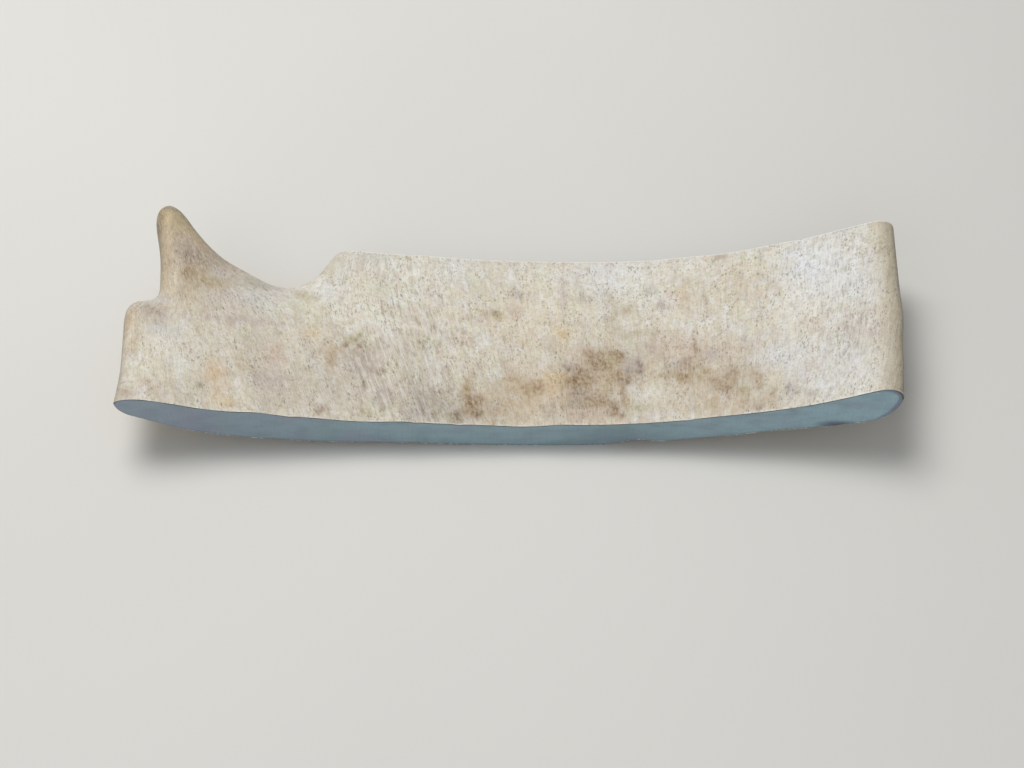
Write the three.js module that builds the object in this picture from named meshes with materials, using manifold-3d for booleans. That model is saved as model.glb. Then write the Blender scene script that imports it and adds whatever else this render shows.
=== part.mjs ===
// A sawn slice of moose antler: a strip across the palm, with one tine and a blunt shoulder at its left end.
// It is one solid piece of bone. Both long sides are flat saw cuts, and all other edges are grown and round.
//
// The shape is built as the real one came about. First the palm grows: a dished plate with a natural outline,
// whose upper and lower faces meet in a round rim. Then two parallel saw cuts take off its root and crown.
//
// Units are millimetres, +Z up. While it grows, the palm has X along the strip, Y = 0 on the root-side saw
// cut and Z = 0 on the ground. At the end it is moved so that its origin is the bottom centre of its box.

import * as THREE from "three";
import Module from "manifold-3d";
import { mergeVertices } from "three/addons/utils/BufferGeometryUtils.js";

// ---- Driving dimensions -----------------------------------------------------------------------------

const CUT_SPACING = 75; // between the two saw cuts
const UNCUT_MARGIN = 14; // palm grown beyond each saw cut, before it is sawn off
const CROWN_CUT_START = -90; // the crown-side saw stops in the bay here, and never reaches the tine
const SAW_BLOCK = { width: 400, depth: 42, height: 200 }; // what one saw cut takes off, larger than the palm

const FAN_AXIS_X = 40; // the fibres fan out about a line along +Y here ...
const FAN_RADIUS = 260; // ... from a point this far behind the root-side cut
const FAN_SLOPE_LIMIT = 0.36; // and lean no further than this to the left

const OUTLINE_STEP = 2.1; // mesh spacing along the natural edge
const LATTICE_STEP = 4.4; // mesh spacing inside the plate
const LATTICE_GAP = 1.8; // least distance from a lattice point to the rim's rows
const LATTICE_JITTER = 0.04; // so that no four lattice points share a circle
const LATTICE_HALF_WIDTH = 140; // the lattice is laid over this much to each side of X = 0 ...
const LATTICE_MARGIN = 8; // ... and this far past both saw cuts
const RIM_ROWS = 4; // rows of vertices that round the rim
const RIM_WIDTH = 5.8; // depth of those rows, inward from the edge
const RIM_CROWDING = 0.75; // least spacing of the rim's points, as a share of the gap between its rows
const RIM_ASPECT = 0.53; // rim radius in plan, as a share of the plate's thickness

const ANTLER_BONE = new THREE.MeshStandardMaterial({ color: 0xcbc1aa, roughness: 0.62, metalness: 0 });

// ---- Natural outline, in plan -----------------------------------------------------------------------

const LEFT_EDGE = [[-127.2, -UNCUT_MARGIN], [-127, 0], [-127, 5], [-127.5, 14], [-129, 27], [-130.1, 37]];
const SHOULDER = [[-129.6, 41.2], [-127.2, 44.2], [-122.3, 45.8], [-120.6, 48.7]];
const TINE_LEFT = [[-120.8, 55], [-121.9, 64], [-124.1, 74]];
const TINE_TIP = [[-124.2, 78.5], [-122.8, 81.2], [-120, 82.6], [-116.9, 81.6], [-114.1, 79]];
const TINE_RIGHT = [[-109.9, 74], [-104.5, 68.6], [-98.2, 64.2]];
const BAY = [[-88.2, 60.3], [-82.5, 58.5], [-78.3, 58.2], [-73.9, 59.8], [-69.8, 63.2], [-66.3, 69.2]];
const CROWN_CORNER = [[-64.3, 73.2], [-61.8, 76.8], [-55, 83], [-48, CUT_SPACING + UNCUT_MARGIN]];
const RIGHT_EDGE = [
  [134.2, CUT_SPACING + UNCUT_MARGIN], [133.6, 75], [132, 58], [130.8, 45],
  [129.8, 33], [127.7, 21.5], [126.6, 13], [124.3, 0], [122.8, -UNCUT_MARGIN],
];

// ---- Heights of the two faces along the strip: [X, Z] at the root-side and crown-side cuts ----------

const ROOT_TOP = [
  [-135, 21.6], [-119, 23.9], [-110, 22.1], [-100, 19.4], [-85, 17.2], [-66, 14.8], [-52, 13.1], [-38, 12.4],
  [-20, 11.4], [-8, 10.9], [2, 10.1], [20, 10.8], [45, 12.1], [65, 15], [85, 18.7], [98, 21.9],
  [105, 24.3], [117, 28.8], [140, 33],
];
const ROOT_BOTTOM = [
  [-135, 20.5], [-124, 16.2], [-118, 13.3], [-108, 9], [-95, 5.8], [-78, 3.4], [-55, 1.7], [-30, 1.2],
  [-5, 0.3], [25, 0.2], [50, 2.3], [70, 5], [85, 7.8], [103, 10.1], [112, 12], [122, 14], [140, 18],
];
const CROWN_TOP = [
  [-135, 28], [-110, 23.2], [-85, 19.2], [-60, 16.4], [-35, 13.8], [-10, 11.4], [15, 10.4], [42, 10.6],
  [60, 12.4], [80, 15.6], [95, 19.8], [110, 24.5], [125, 30], [140, 34.4],
];
const CROWN_BOTTOM = [
  [-135, 16], [-110, 11.7], [-85, 7.7], [-60, 4.9], [-35, 2.4], [-5, 0.2], [25, 0.2], [42, 1.2],
  [60, 2.8], [80, 5.6], [95, 8.3], [110, 11.6], [125, 15.6], [140, 20],
];

// Low ridges on the upper face and vessel grooves on the lower one. Both follow the fibres of the fan, and
// sway. at: X on the root-side cut; half: half width; size: height or depth; from, to: where it runs, in Y
const RIDGES = [
  { at: -82, half: 5, size: 0.6, from: -20, to: 40 },
  { at: -33, half: 6, size: 0.5, from: -20, to: 70 },
  { at: 14, half: 5, size: 0.45, from: -20, to: 55 },
  { at: 71, half: 9, size: 0.4, from: 10, to: 66 },
];
const GROOVES = [
  { at: -98, half: 3.6, size: 1.1, from: 14, to: 62 },
  { at: -72, half: 4.4, size: 1.3, from: 8, to: 100 },
  { at: -42, half: 4, size: 1.1, from: 20, to: 100 },
  { at: 41, half: 5.5, size: 1.8, from: -20, to: 100 },
  { at: 61, half: 4, size: 1.2, from: 18, to: 100 },
  { at: 83, half: 4.6, size: 1.4, from: 6, to: 72 },
  { at: 104, half: 4.4, size: 1.1, from: 12, to: 62 },
];
const SWAY = { size: 1.3, length: 13 }; // how far ridges and grooves wander sideways, and how quickly
const RELIEF_FADE = 12; // length over which they fade in and out

const SHOULDER_DIP = { x: -118, y: 38, radius: 9, depth: 0.9 }; // hollow where the shoulder meets the tine
const TINE_CURL = { from: 44, length: 40, rise: 10, power: 1.3, fullX: -103, noneX: -78 };
const TINE_THINNING = 0.16; // share of its thickness that the tine loses by its tip

// Where the rim lies between the faces: 0 is the lower face, 1 the upper one. It rises along the right edge
// towards the root-side cut, and at the left end of that cut, where the plate comes to a wedge.
const RIM_HEIGHT = 0.52;
const RIGHT_RIM = { rise: 0.08, fromX: 90, fullX: 120 };
const ROOT_CORNER = { rise: 0.24, reachY: 11, fullX: -110, noneX: -95 };

// ---- Small numeric helpers --------------------------------------------------------------------------

const { clamp, lerp, smoothstep } = THREE.MathUtils;

// A smooth function of x through [x, value] stations: cubic pieces with matched slopes.
function throughStations(stations) {
  const slope = (i) => (stations[i + 1][1] - stations[i][1]) / (stations[i + 1][0] - stations[i][0]);
  const last = stations.length - 1;
  const slopes = stations.map((station, i) => {
    if (i === 0) return slope(0);
    if (i === last) return slope(last - 1);
    const before = station[0] - stations[i - 1][0];
    const after = stations[i + 1][0] - station[0];
    return (slope(i - 1) * after + slope(i) * before) / (before + after);
  });
  return (x) => {
    const at = clamp(x, stations[0][0], stations[last][0]);
    let i = 0;
    while (i < last - 1 && at > stations[i + 1][0]) i += 1;
    const width = stations[i + 1][0] - stations[i][0];
    const t = (at - stations[i][0]) / width;
    const rise = t * t * (3 - 2 * t);
    return stations[i][1] * (1 - rise) + stations[i + 1][1] * rise
      + width * (slopes[i] * t * (1 - t) ** 2 - slopes[i + 1] * t * t * (1 - t));
  };
}

// ---- The grown surface ------------------------------------------------------------------------------

const rootTop = throughStations(ROOT_TOP);
const rootBottom = throughStations(ROOT_BOTTOM);
const crownTop = throughStations(CROWN_TOP);
const crownBottom = throughStations(CROWN_BOTTOM);

// X at which the fibre through (x, y) crosses the root-side cut.
function fibreRoot(x, y) {
  let root = x;
  for (let i = 0; i < 4; i += 1) {
    const slope = Math.max((root - FAN_AXIS_X) / FAN_RADIUS, -FAN_SLOPE_LIMIT);
    root = x - y * slope;
  }
  return root;
}

// Height of a bundle of ridges, or depth of a bundle of grooves, at a point.
function reliefAt(bundle, x, y) {
  const root = fibreRoot(x, y);
  return bundle.reduce((sum, { at, half, size, from, to }) => {
    const across = (root - at - SWAY.size * Math.sin(y / SWAY.length + at)) / half;
    const along = smoothstep(y, from, from + RELIEF_FADE) * (1 - smoothstep(y, to - RELIEF_FADE, to));
    return sum + size * along * Math.exp(-across * across);
  }, 0);
}

// Upward curl of the tine, which grows off the plate.
function tineCurl(x, y) {
  const { from, length, rise, power, fullX, noneX } = TINE_CURL;
  const along = Math.max(y - from, 0) / length;
  return rise * along ** power * (1 - smoothstep(x, fullX, noneX));
}

// Heights of the upper face, the lower face and the rim at a point in plan, before the rim is rounded.
function faceHeights(x, y) {
  const share = y / CUT_SPACING;
  const dipX = (x - SHOULDER_DIP.x) / SHOULDER_DIP.radius;
  const dipY = (y - SHOULDER_DIP.y) / SHOULDER_DIP.radius;
  const dip = SHOULDER_DIP.depth * Math.exp(-dipX * dipX - dipY * dipY);
  let top = lerp(rootTop(x), crownTop(x), share) + reliefAt(RIDGES, x, y) - dip;
  let bottom = lerp(rootBottom(x), crownBottom(x), share) + reliefAt(GROOVES, x, y);
  const curl = tineCurl(x, y);
  const thinning = (top - bottom) * TINE_THINNING * (curl / TINE_CURL.rise);
  top += curl - thinning / 2;
  bottom += curl + thinning / 2;
  const nearRight = smoothstep(x, RIGHT_RIM.fromX, RIGHT_RIM.fullX) * (1 - share);
  const nearLeft = 1 - smoothstep(x, ROOT_CORNER.fullX, ROOT_CORNER.noneX);
  const nearRoot = Math.exp(-((y / ROOT_CORNER.reachY) ** 2));
  const rimShare = RIM_HEIGHT + RIGHT_RIM.rise * nearRight + ROOT_CORNER.rise * nearLeft * nearRoot;
  return { top, bottom, rim: lerp(bottom, top, rimShare) };
}

// The same heights with the rim rounded: near the edge both faces bend to the rim in quarter ellipses.
function roundedHeights(x, y, edgeDistance) {
  const { top, bottom, rim } = faceHeights(x, y);
  const inward = Math.min(edgeDistance / ((top - bottom) * RIM_ASPECT), 1);
  const open = Math.sqrt(1 - (1 - inward) ** 2);
  return { top: rim + (top - rim) * open, bottom: rim + (bottom - rim) * open, rim };
}

// ---- Plan mesh --------------------------------------------------------------------------------------

function naturalOutline() {
  const vectors = (points) => points.map(([x, y]) => new THREE.Vector2(x, y));
  const leftSide = vectors([
    ...LEFT_EDGE, ...SHOULDER, ...TINE_LEFT, ...TINE_TIP, ...TINE_RIGHT, ...BAY, ...CROWN_CORNER,
  ]);
  const rightSide = vectors(RIGHT_EDGE);
  const shape = new THREE.Shape();
  shape.moveTo(leftSide[0].x, leftSide[0].y);
  shape.splineThru(leftSide.slice(1));
  shape.lineTo(rightSide[0].x, rightSide[0].y);
  shape.splineThru(rightSide.slice(1));
  shape.closePath();
  const count = Math.round(shape.getLength() / OUTLINE_STEP);
  return shape.getSpacedPoints(count).slice(0, count); // the last point repeats the first
}

function distanceToOutline(point, outline) {
  let nearest = Infinity;
  for (let i = 0; i < outline.length; i += 1) {
    const start = outline[i];
    const end = outline[(i + 1) % outline.length];
    const edgeX = end.x - start.x;
    const edgeY = end.y - start.y;
    const along = ((point.x - start.x) * edgeX + (point.y - start.y) * edgeY) / (edgeX * edgeX + edgeY * edgeY);
    const t = clamp(along, 0, 1);
    nearest = Math.min(nearest, Math.hypot(point.x - start.x - t * edgeX, point.y - start.y - t * edgeY));
  }
  return nearest;
}

function isInside(point, outline) {
  let inside = false;
  for (let i = 0; i < outline.length; i += 1) {
    const a = outline[i];
    const b = outline[(i + 1) % outline.length];
    const crosses = a.y > point.y !== b.y > point.y;
    if (crosses && point.x < a.x + ((point.y - a.y) / (b.y - a.y)) * (b.x - a.x)) inside = !inside;
  }
  return inside;
}

// Rows of points that follow the edge, close together at the edge itself, so that the rim comes out round.
function rimPoints(outline) {
  const rows = [];
  let depthBefore = 0;
  for (let row = 1; row <= RIM_ROWS; row += 1) {
    const depth = RIM_WIDTH * (1 - Math.cos((row / RIM_ROWS) * (Math.PI / 2)));
    const gap = RIM_CROWDING * (depth - depthBefore);
    for (let i = 0; i < outline.length; i += 1) {
      const before = outline[(i + outline.length - 1) % outline.length];
      const after = outline[(i + 1) % outline.length];
      const inward = new THREE.Vector2(after.y - before.y, before.x - after.x).normalize();
      const point = outline[i].clone().addScaledVector(inward, depth);
      const onStrip = point.y > -LATTICE_MARGIN && point.y < CUT_SPACING + LATTICE_MARGIN;
      const clear = distanceToOutline(point, outline) > 0.97 * depth;
      if (onStrip && clear && rows.every((other) => other.distanceTo(point) > gap)) rows.push(point);
    }
    depthBefore = depth;
  }
  return rows;
}

// A triangular lattice that fills what the rim's rows leave open.
function latticePoints(outline, rows) {
  const points = [];
  const rowStep = (LATTICE_STEP * Math.sqrt(3)) / 2;
  for (let row = 0, y = -LATTICE_MARGIN; y < CUT_SPACING + LATTICE_MARGIN; row += 1, y += rowStep) {
    const startX = -LATTICE_HALF_WIDTH + (row % 2) * (LATTICE_STEP / 2);
    for (let x = startX; x < LATTICE_HALF_WIDTH; x += LATTICE_STEP) {
      const jitterX = LATTICE_JITTER * Math.sin(3.1 * x + y);
      const jitterY = LATTICE_JITTER * Math.sin(2.3 * y - x);
      const point = new THREE.Vector2(x + jitterX, y + jitterY);
      const clear = [...outline, ...rows].every((other) => other.distanceTo(point) > LATTICE_GAP);
      if (isInside(point, outline) && clear) points.push(point);
    }
  }
  return points;
}

// Delaunay triangles of points in the plane, by adding one point at a time: [a, b, c] indices, anticlockwise.
function delaunay(points) {
  const far = 1e4;
  const all = [...points, new THREE.Vector2(-far, -far), new THREE.Vector2(far, -far), new THREE.Vector2(0, far)];
  const triangle = (a, b, c) => {
    const [p, q, r] = [all[a], all[b], all[c]];
    const twice = 2 * ((q.x - p.x) * (r.y - p.y) - (q.y - p.y) * (r.x - p.x));
    const qq = (q.x - p.x) ** 2 + (q.y - p.y) ** 2;
    const rr = (r.x - p.x) ** 2 + (r.y - p.y) ** 2;
    const x = ((r.y - p.y) * qq - (q.y - p.y) * rr) / twice;
    const y = ((q.x - p.x) * rr - (r.x - p.x) * qq) / twice;
    return { corners: [a, b, c], x: p.x + x, y: p.y + y, radiusSquared: x * x + y * y };
  };
  let triangles = [triangle(points.length, points.length + 1, points.length + 2)];
  points.forEach((point, index) => {
    const open = new Map(); // the directed edges round the hole that this point makes
    triangles = triangles.filter((t) => {
      if ((point.x - t.x) ** 2 + (point.y - t.y) ** 2 >= t.radiusSquared) return true;
      t.corners.forEach((from, i) => {
        const to = t.corners[(i + 1) % 3];
        if (!open.delete(`${to},${from}`)) open.set(`${from},${to}`, [from, to]);
      });
      return false;
    });
    open.forEach(([from, to]) => triangles.push(triangle(from, to, index)));
  });
  return triangles.map((t) => t.corners).filter((corners) => corners.every((i) => i < points.length));
}

// ---- Solids -----------------------------------------------------------------------------------------

// The whole grown palm as a closed geometry: an upper and a lower sheet that share the vertices of the outline.
function grownPalm() {
  const outline = naturalOutline();
  const rows = rimPoints(outline);
  const plan = [...outline, ...rows, ...latticePoints(outline, rows)];
  const upper = [];
  const lower = [];
  const positions = [];
  plan.forEach((point, i) => {
    const edgeDistance = i < outline.length ? 0 : distanceToOutline(point, outline);
    const { top, bottom, rim } = roundedHeights(point.x, point.y, edgeDistance);
    upper.push(positions.length / 3);
    positions.push(point.x, point.y, i < outline.length ? rim : top);
    lower.push(i < outline.length ? upper[i] : positions.length / 3);
    if (i >= outline.length) positions.push(point.x, point.y, bottom);
  });
  const indices = [];
  delaunay(plan).forEach(([a, b, c]) => {
    const centre = new THREE.Vector2().add(plan[a]).add(plan[b]).add(plan[c]).divideScalar(3);
    if (!isInside(centre, outline)) return;
    indices.push(upper[a], upper[b], upper[c], lower[a], lower[c], lower[b]);
  });
  const geometry = new THREE.BufferGeometry();
  geometry.setAttribute("position", new THREE.Float32BufferAttribute(positions, 3));
  geometry.setIndex(indices);
  return geometry;
}

const wasm = await Module();
wasm.setup();

function toSolid(geometry) {
  const bare = geometry.clone();
  bare.deleteAttribute("normal");
  bare.deleteAttribute("uv");
  const merged = mergeVertices(bare, 1e-4);
  return new wasm.Manifold(new wasm.Mesh({
    numProp: 3,
    vertProperties: merged.attributes.position.array,
    triVerts: new Uint32Array(merged.index.array),
  }));
}

function toGeometry(solid) {
  const mesh = solid.getMesh();
  const geometry = new THREE.BufferGeometry();
  geometry.setAttribute("position", new THREE.BufferAttribute(mesh.vertProperties, 3));
  geometry.setIndex(new THREE.BufferAttribute(mesh.triVerts, 1));
  return geometry;
}

// What one saw cut takes off: a block whose lower left corner, in plan, is at (fromX, fromY).
function sawnOff(fromX, fromY) {
  const { width, depth, height } = SAW_BLOCK;
  const block = new THREE.BoxGeometry(width, depth, height);
  block.translate(fromX + width / 2, fromY + depth / 2, 0);
  return toSolid(block);
}

function antlerSlice() {
  const rootSide = sawnOff(-SAW_BLOCK.width / 2, -SAW_BLOCK.depth);
  const crownSide = sawnOff(CROWN_CUT_START, CUT_SPACING);
  const geometry = toGeometry(toSolid(grownPalm()).subtract(rootSide).subtract(crownSide));
  geometry.computeBoundingBox();
  const { min, max } = geometry.boundingBox;
  geometry.translate(-(min.x + max.x) / 2, -(min.y + max.y) / 2, -min.z);
  geometry.computeVertexNormals();
  return geometry;
}

// ---- The part ---------------------------------------------------------------------------------------

const part = new THREE.Group();
const antler = new THREE.Mesh(antlerSlice(), ANTLER_BONE);
antler.name = "antler";
part.add(antler);

export default part;
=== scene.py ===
"""A sawn slice of moose antler, finished: weathered bone with pores, fibres and stains, two smooth saw
cuts, and the burr that the saw left along their lower edges.

The antler is grown again here at a fine spacing, by the same rules and sizes as its solid: a dished plate
with a natural outline and a round rim, cut off flat along both long sides. Lengths are millimetres while it
grows, with X along the strip, Y = 0 on the root-side saw cut and Z = 0 on the ground. At the end RowFrame
moves every finished mesh into the row's frame, in metres.
"""

import math
from types import SimpleNamespace

import bpy
import numpy as np
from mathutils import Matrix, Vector, noise
from mathutils.geometry import delaunay_2d_cdt


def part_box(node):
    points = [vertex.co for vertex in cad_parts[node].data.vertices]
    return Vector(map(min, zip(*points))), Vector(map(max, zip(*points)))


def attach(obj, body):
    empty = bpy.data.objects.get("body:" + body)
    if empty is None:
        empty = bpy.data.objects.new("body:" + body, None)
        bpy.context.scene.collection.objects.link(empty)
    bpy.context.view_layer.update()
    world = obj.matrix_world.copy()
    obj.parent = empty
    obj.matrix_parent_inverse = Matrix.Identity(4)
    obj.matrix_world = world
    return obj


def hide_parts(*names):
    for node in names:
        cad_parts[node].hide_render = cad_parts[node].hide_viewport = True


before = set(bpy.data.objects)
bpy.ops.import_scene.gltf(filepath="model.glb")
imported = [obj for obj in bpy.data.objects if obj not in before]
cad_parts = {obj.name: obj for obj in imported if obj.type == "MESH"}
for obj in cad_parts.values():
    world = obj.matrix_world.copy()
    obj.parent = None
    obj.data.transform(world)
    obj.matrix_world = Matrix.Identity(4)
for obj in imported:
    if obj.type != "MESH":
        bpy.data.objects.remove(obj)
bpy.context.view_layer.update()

MM = 0.001  # in metres

# ---- Driving dimensions, in millimetres -----------------------------------------------------------------

CUT_SPACING = 75  # between the two saw cuts
CROWN_CUT_START = -90  # the crown-side saw stops in the bay here, and never reaches the tine
FAN_AXIS_X = 40  # the fibres fan out about a line along +Y here ...
FAN_RADIUS = 260  # ... from a point this far behind the root-side cut
FAN_SLOPE_LIMIT = 0.36  # and lean no further than this to the left
FAN_ROUNDS = 4  # of substitution, until a fibre's root has settled
RIM_ASPECT = 0.53  # rim radius in plan, as a share of the plate's thickness

# The natural outline, in plan, clockwise as seen from above.
LEFT_OF_TINE = [
    (-127.2, -14), (-127, 0), (-127, 5), (-127.5, 14), (-129, 27), (-130.1, 37),  # left edge
    (-129.6, 41.2), (-127.2, 44.2), (-122.3, 45.8), (-120.6, 48.7),  # shoulder
    (-120.8, 55), (-121.9, 64), (-124.1, 74), (-124.2, 78.5), (-122.8, 81.2),  # tine, left side
]
TINE_TIP = [(-120, 82.6)]
RIGHT_OF_TINE = [
    (-116.9, 81.6), (-114.1, 79), (-109.9, 74), (-104.5, 68.6), (-98.2, 64.2),  # tine, right side
    (-88.2, 60.3), (-82.5, 58.5), (-78.3, 58.2), (-73.9, 59.8), (-69.8, 63.2), (-66.3, 69.2),  # bay
    (-64.3, 73.2), (-61.8, 76.8), (-55, 83), (-48, 89),  # crown corner
]
RIGHT_END = [
    (134.2, 89), (133.6, 75), (132, 58), (130.8, 45), (129.8, 33), (127.7, 21.5), (126.6, 13), (124.3, 0),
    (122.8, -14),
]

# Heights of the two faces along the strip, (X, Z), at the root-side cut and at the crown-side cut.
ROOT_TOP = [
    (-135, 21.6), (-119, 23.9), (-110, 22.1), (-100, 19.4), (-85, 17.2), (-66, 14.8), (-52, 13.1),
    (-38, 12.4), (-20, 11.4), (-8, 10.9), (2, 10.1), (20, 10.8), (45, 12.1), (65, 15), (85, 18.7), (98, 21.9),
    (105, 24.3), (117, 28.8), (140, 33),
]
ROOT_BOTTOM = [
    (-135, 20.5), (-124, 16.2), (-118, 13.3), (-108, 9), (-95, 5.8), (-78, 3.4), (-55, 1.7), (-30, 1.2),
    (-5, 0.3), (25, 0.2), (50, 2.3), (70, 5), (85, 7.8), (103, 10.1), (112, 12), (122, 14), (140, 18),
]
CROWN_TOP = [
    (-135, 28), (-110, 23.2), (-85, 19.2), (-60, 16.4), (-35, 13.8), (-10, 11.4), (15, 10.4), (42, 10.6),
    (60, 12.4), (80, 15.6), (95, 19.8), (110, 24.5), (125, 30), (140, 34.4),
]
CROWN_BOTTOM = [
    (-135, 16), (-110, 11.7), (-85, 7.7), (-60, 4.9), (-35, 2.4), (-5, 0.2), (25, 0.2), (42, 1.2),
    (60, 2.8), (80, 5.6), (95, 8.3), (110, 11.6), (125, 15.6), (140, 20),
]

# Ridges of the upper face and vessel grooves of the lower one, which run with the fibres: X on the root-side
# cut, half width, height or depth, and the Y where each begins and ends.
RIDGES = [(-82, 5, 0.6, -20, 40), (-33, 6, 0.5, -20, 70), (14, 5, 0.45, -20, 55), (71, 9, 0.4, 10, 66)]
GROOVES = [
    (-98, 3.6, 1.1, 14, 62), (-72, 4.4, 1.3, 8, 100), (-42, 4, 1.1, 20, 100), (41, 5.5, 1.8, -20, 100),
    (61, 4, 1.2, 18, 100), (83, 4.6, 1.4, 6, 72), (104, 4.4, 1.1, 12, 62),
]
SWAY_SIZE, SWAY_LENGTH = 1.3, 13  # how far they sway across the fibres, over which length
RELIEF_FADE = 12  # length over which they rise and die away

DIP_AT, DIP_RADIUS, DIP_DEPTH = (-118, 38), 9, 0.9  # hollow where the shoulder meets the tine
CURL_FROM, CURL_LENGTH, CURL_RISE, CURL_POWER = 44, 40, 10, 1.3  # upward curl of the tine, along Y ...
CURL_FULL_X, CURL_NONE_X = -103, -78  # ... and where it fades out along X
TINE_THINNING = 0.16  # share of the thickness that the tine has lost at the end of the curl
RIM_HEIGHT = 0.52  # of the rim's line, as a share of the way from the lower to the upper face
RIGHT_RIM_RISE, RIGHT_RIM_FROM_X, RIGHT_RIM_FULL_X = 0.08, 90, 120  # more share towards the right end ...
CORNER_RISE, CORNER_REACH, CORNER_FULL_X, CORNER_NONE_X = 0.24, 11, -110, -95  # ... and at the left corner

# Finer work, which only the finished surface has.
# Low relief: height, reach across the fibres, reach along them.
UPPER_SWELL, UPPER_BUNDLES, UPPER_STRIATIONS = (0.2, 19, 26), (0.06, 2.8, 24), (0.024, 1.35, 13)
LOWER_SWELL, LOWER_VESSELS, LOWER_STRIATIONS = (0.3, 15, 24), (0.3, 3.4, 26), (0.09, 2, 12)
RESTING_HEIGHTS = (-0.5, 1.5)  # the lower face is smooth below the first and rough above the second
EDGE_STEP = 0.7  # mesh spacing along the natural edge
UPPER_STEP, LOWER_STEP = 0.68, 0.95  # mesh spacing on the two faces
RIM_ROWS, RIM_WIDTH = 10, 5.8  # rows of vertices that round the rim, and how far in they reach
CUT_ROWS, CUT_ROW_WIDTH, CUT_STEP = 5, 2.6, 1.4  # rows inside a sawn face's border, and spacing within them
ROW_CROWDING = 0.7  # least spacing of a row's points, as a share of the gap between rows
LEAST_CUT_GAP = 0.1  # between the points of a sawn face
ROW_CLEARANCE = 0.97  # least distance of a row's points from the edge, as a share of their row's depth
CUT_CLEARANCE = 0.48  # least distance of the rim's rows from a saw cut
MERGE_DISTANCE = 1e-7  # within which two points of a plan are one
ARRIS_WIDTH, ARRIS_DROP = 0.3, 0.12  # the worn arris between a face and a saw cut
NICKS = [  # chips in the upper arris: saw cut's Y, X, half width, depth
    (75, 2.4, 0.5, 0.5), (75, 14, 0.5, 0.8), (75, 16, 0.5, 0.5), (75, -36, 1.3, 0.4), (75, -9, 1.2, 0.35),
    (75, 5, 3, 0.25), (75, 50, 3, 0.25), (75, 102, 3, 0.3),
    (0, -31.5, 1.6, 0.35), (0, -17.5, 1.2, 0.4), (0, -72, 2, 0.3), (0, 57, 1.4, 0.3),
]
NICK_REACH = 1.6
TEAR_DEPTH, TEAR_LENGTH, TEAR_REACH = 0.45, 1.5, 1.0  # saw tear-out along the lower arris
FIBRE_WRAP_REACH, FIBRE_WRAP_LIMIT = 8, 16  # how far off, and by how much, edges bend the fibres round them
BAY_FOOT = (-78.5, 58.3)  # where the fibres part round the bay

BURR_SPAN = (-108, 116)  # X between which a saw cut's lower edge carries burr
BURR_SPACING, BURR_THREAD, BURR_SHARE = 0.16, 0.11, 0.85  # between threads, their radius, and the share kept
BURR_INSET, BURR_DROP = 0.17, 0.2  # of the threads' line from the cut, and below its lower arris
BURR_PATCH, BURR_GAP = 7, 0.46  # reach of the patches that the threads stand in, and the share of the gaps
BURR_LEAN = 1.0  # of the threads along the edge, in radians
THREAD_STRETCH = (0.5, 0.4, 3.5), (1.3, 0.9, 7.5)  # least and most, of their width, thickness and length

# ---- The grown surface ----------------------------------------------------------------------------------


def smoothstep(x, low, high):
    t = np.clip((x - low) / (high - low), 0, 1)
    return t * t * (3 - 2 * t)


def lerp(a, b, share):
    return a + (b - a) * share


def through_stations(stations):
    """A smooth function of x through (x, value) stations: cubic pieces with matched slopes."""
    xs, values = np.array(stations, float).T
    widths = np.diff(xs)
    slopes = np.diff(values) / widths
    inner = (slopes[:-1] * widths[1:] + slopes[1:] * widths[:-1]) / (widths[:-1] + widths[1:])
    slopes = np.concatenate([slopes[:1], inner, slopes[-1:]])

    def value_at(x):
        x = np.clip(x, xs[0], xs[-1])
        i = np.clip(np.searchsorted(xs, x, side="right") - 1, 0, len(widths) - 1)
        t = (x - xs[i]) / widths[i]
        rise = t * t * (3 - 2 * t)
        bend = slopes[i] * t * (1 - t) ** 2 - slopes[i + 1] * t * t * (1 - t)
        return values[i] * (1 - rise) + values[i + 1] * rise + widths[i] * bend

    return value_at


root_top, root_bottom, crown_top, crown_bottom = (
    through_stations(stations) for stations in (ROOT_TOP, ROOT_BOTTOM, CROWN_TOP, CROWN_BOTTOM)
)


def fibre_root(x, y):
    """X at which the fibre through (x, y) crosses the root-side cut."""
    root = x
    for _ in range(FAN_ROUNDS):
        slope = np.maximum((root - FAN_AXIS_X) / FAN_RADIUS, -FAN_SLOPE_LIMIT)
        root = x - y * slope
    return root


def relief_at(bundle, x, y):
    """Height of a bundle of ridges, or depth of a bundle of grooves."""
    root = fibre_root(x, y)
    total = np.zeros_like(x)
    for at, half, size, start, end in bundle:
        across = (root - at - SWAY_SIZE * np.sin(y / SWAY_LENGTH + at)) / half
        fade = smoothstep(y, start, start + RELIEF_FADE) * (1 - smoothstep(y, end - RELIEF_FADE, end))
        total += size * fade * np.exp(-across * across)
    return total


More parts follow.
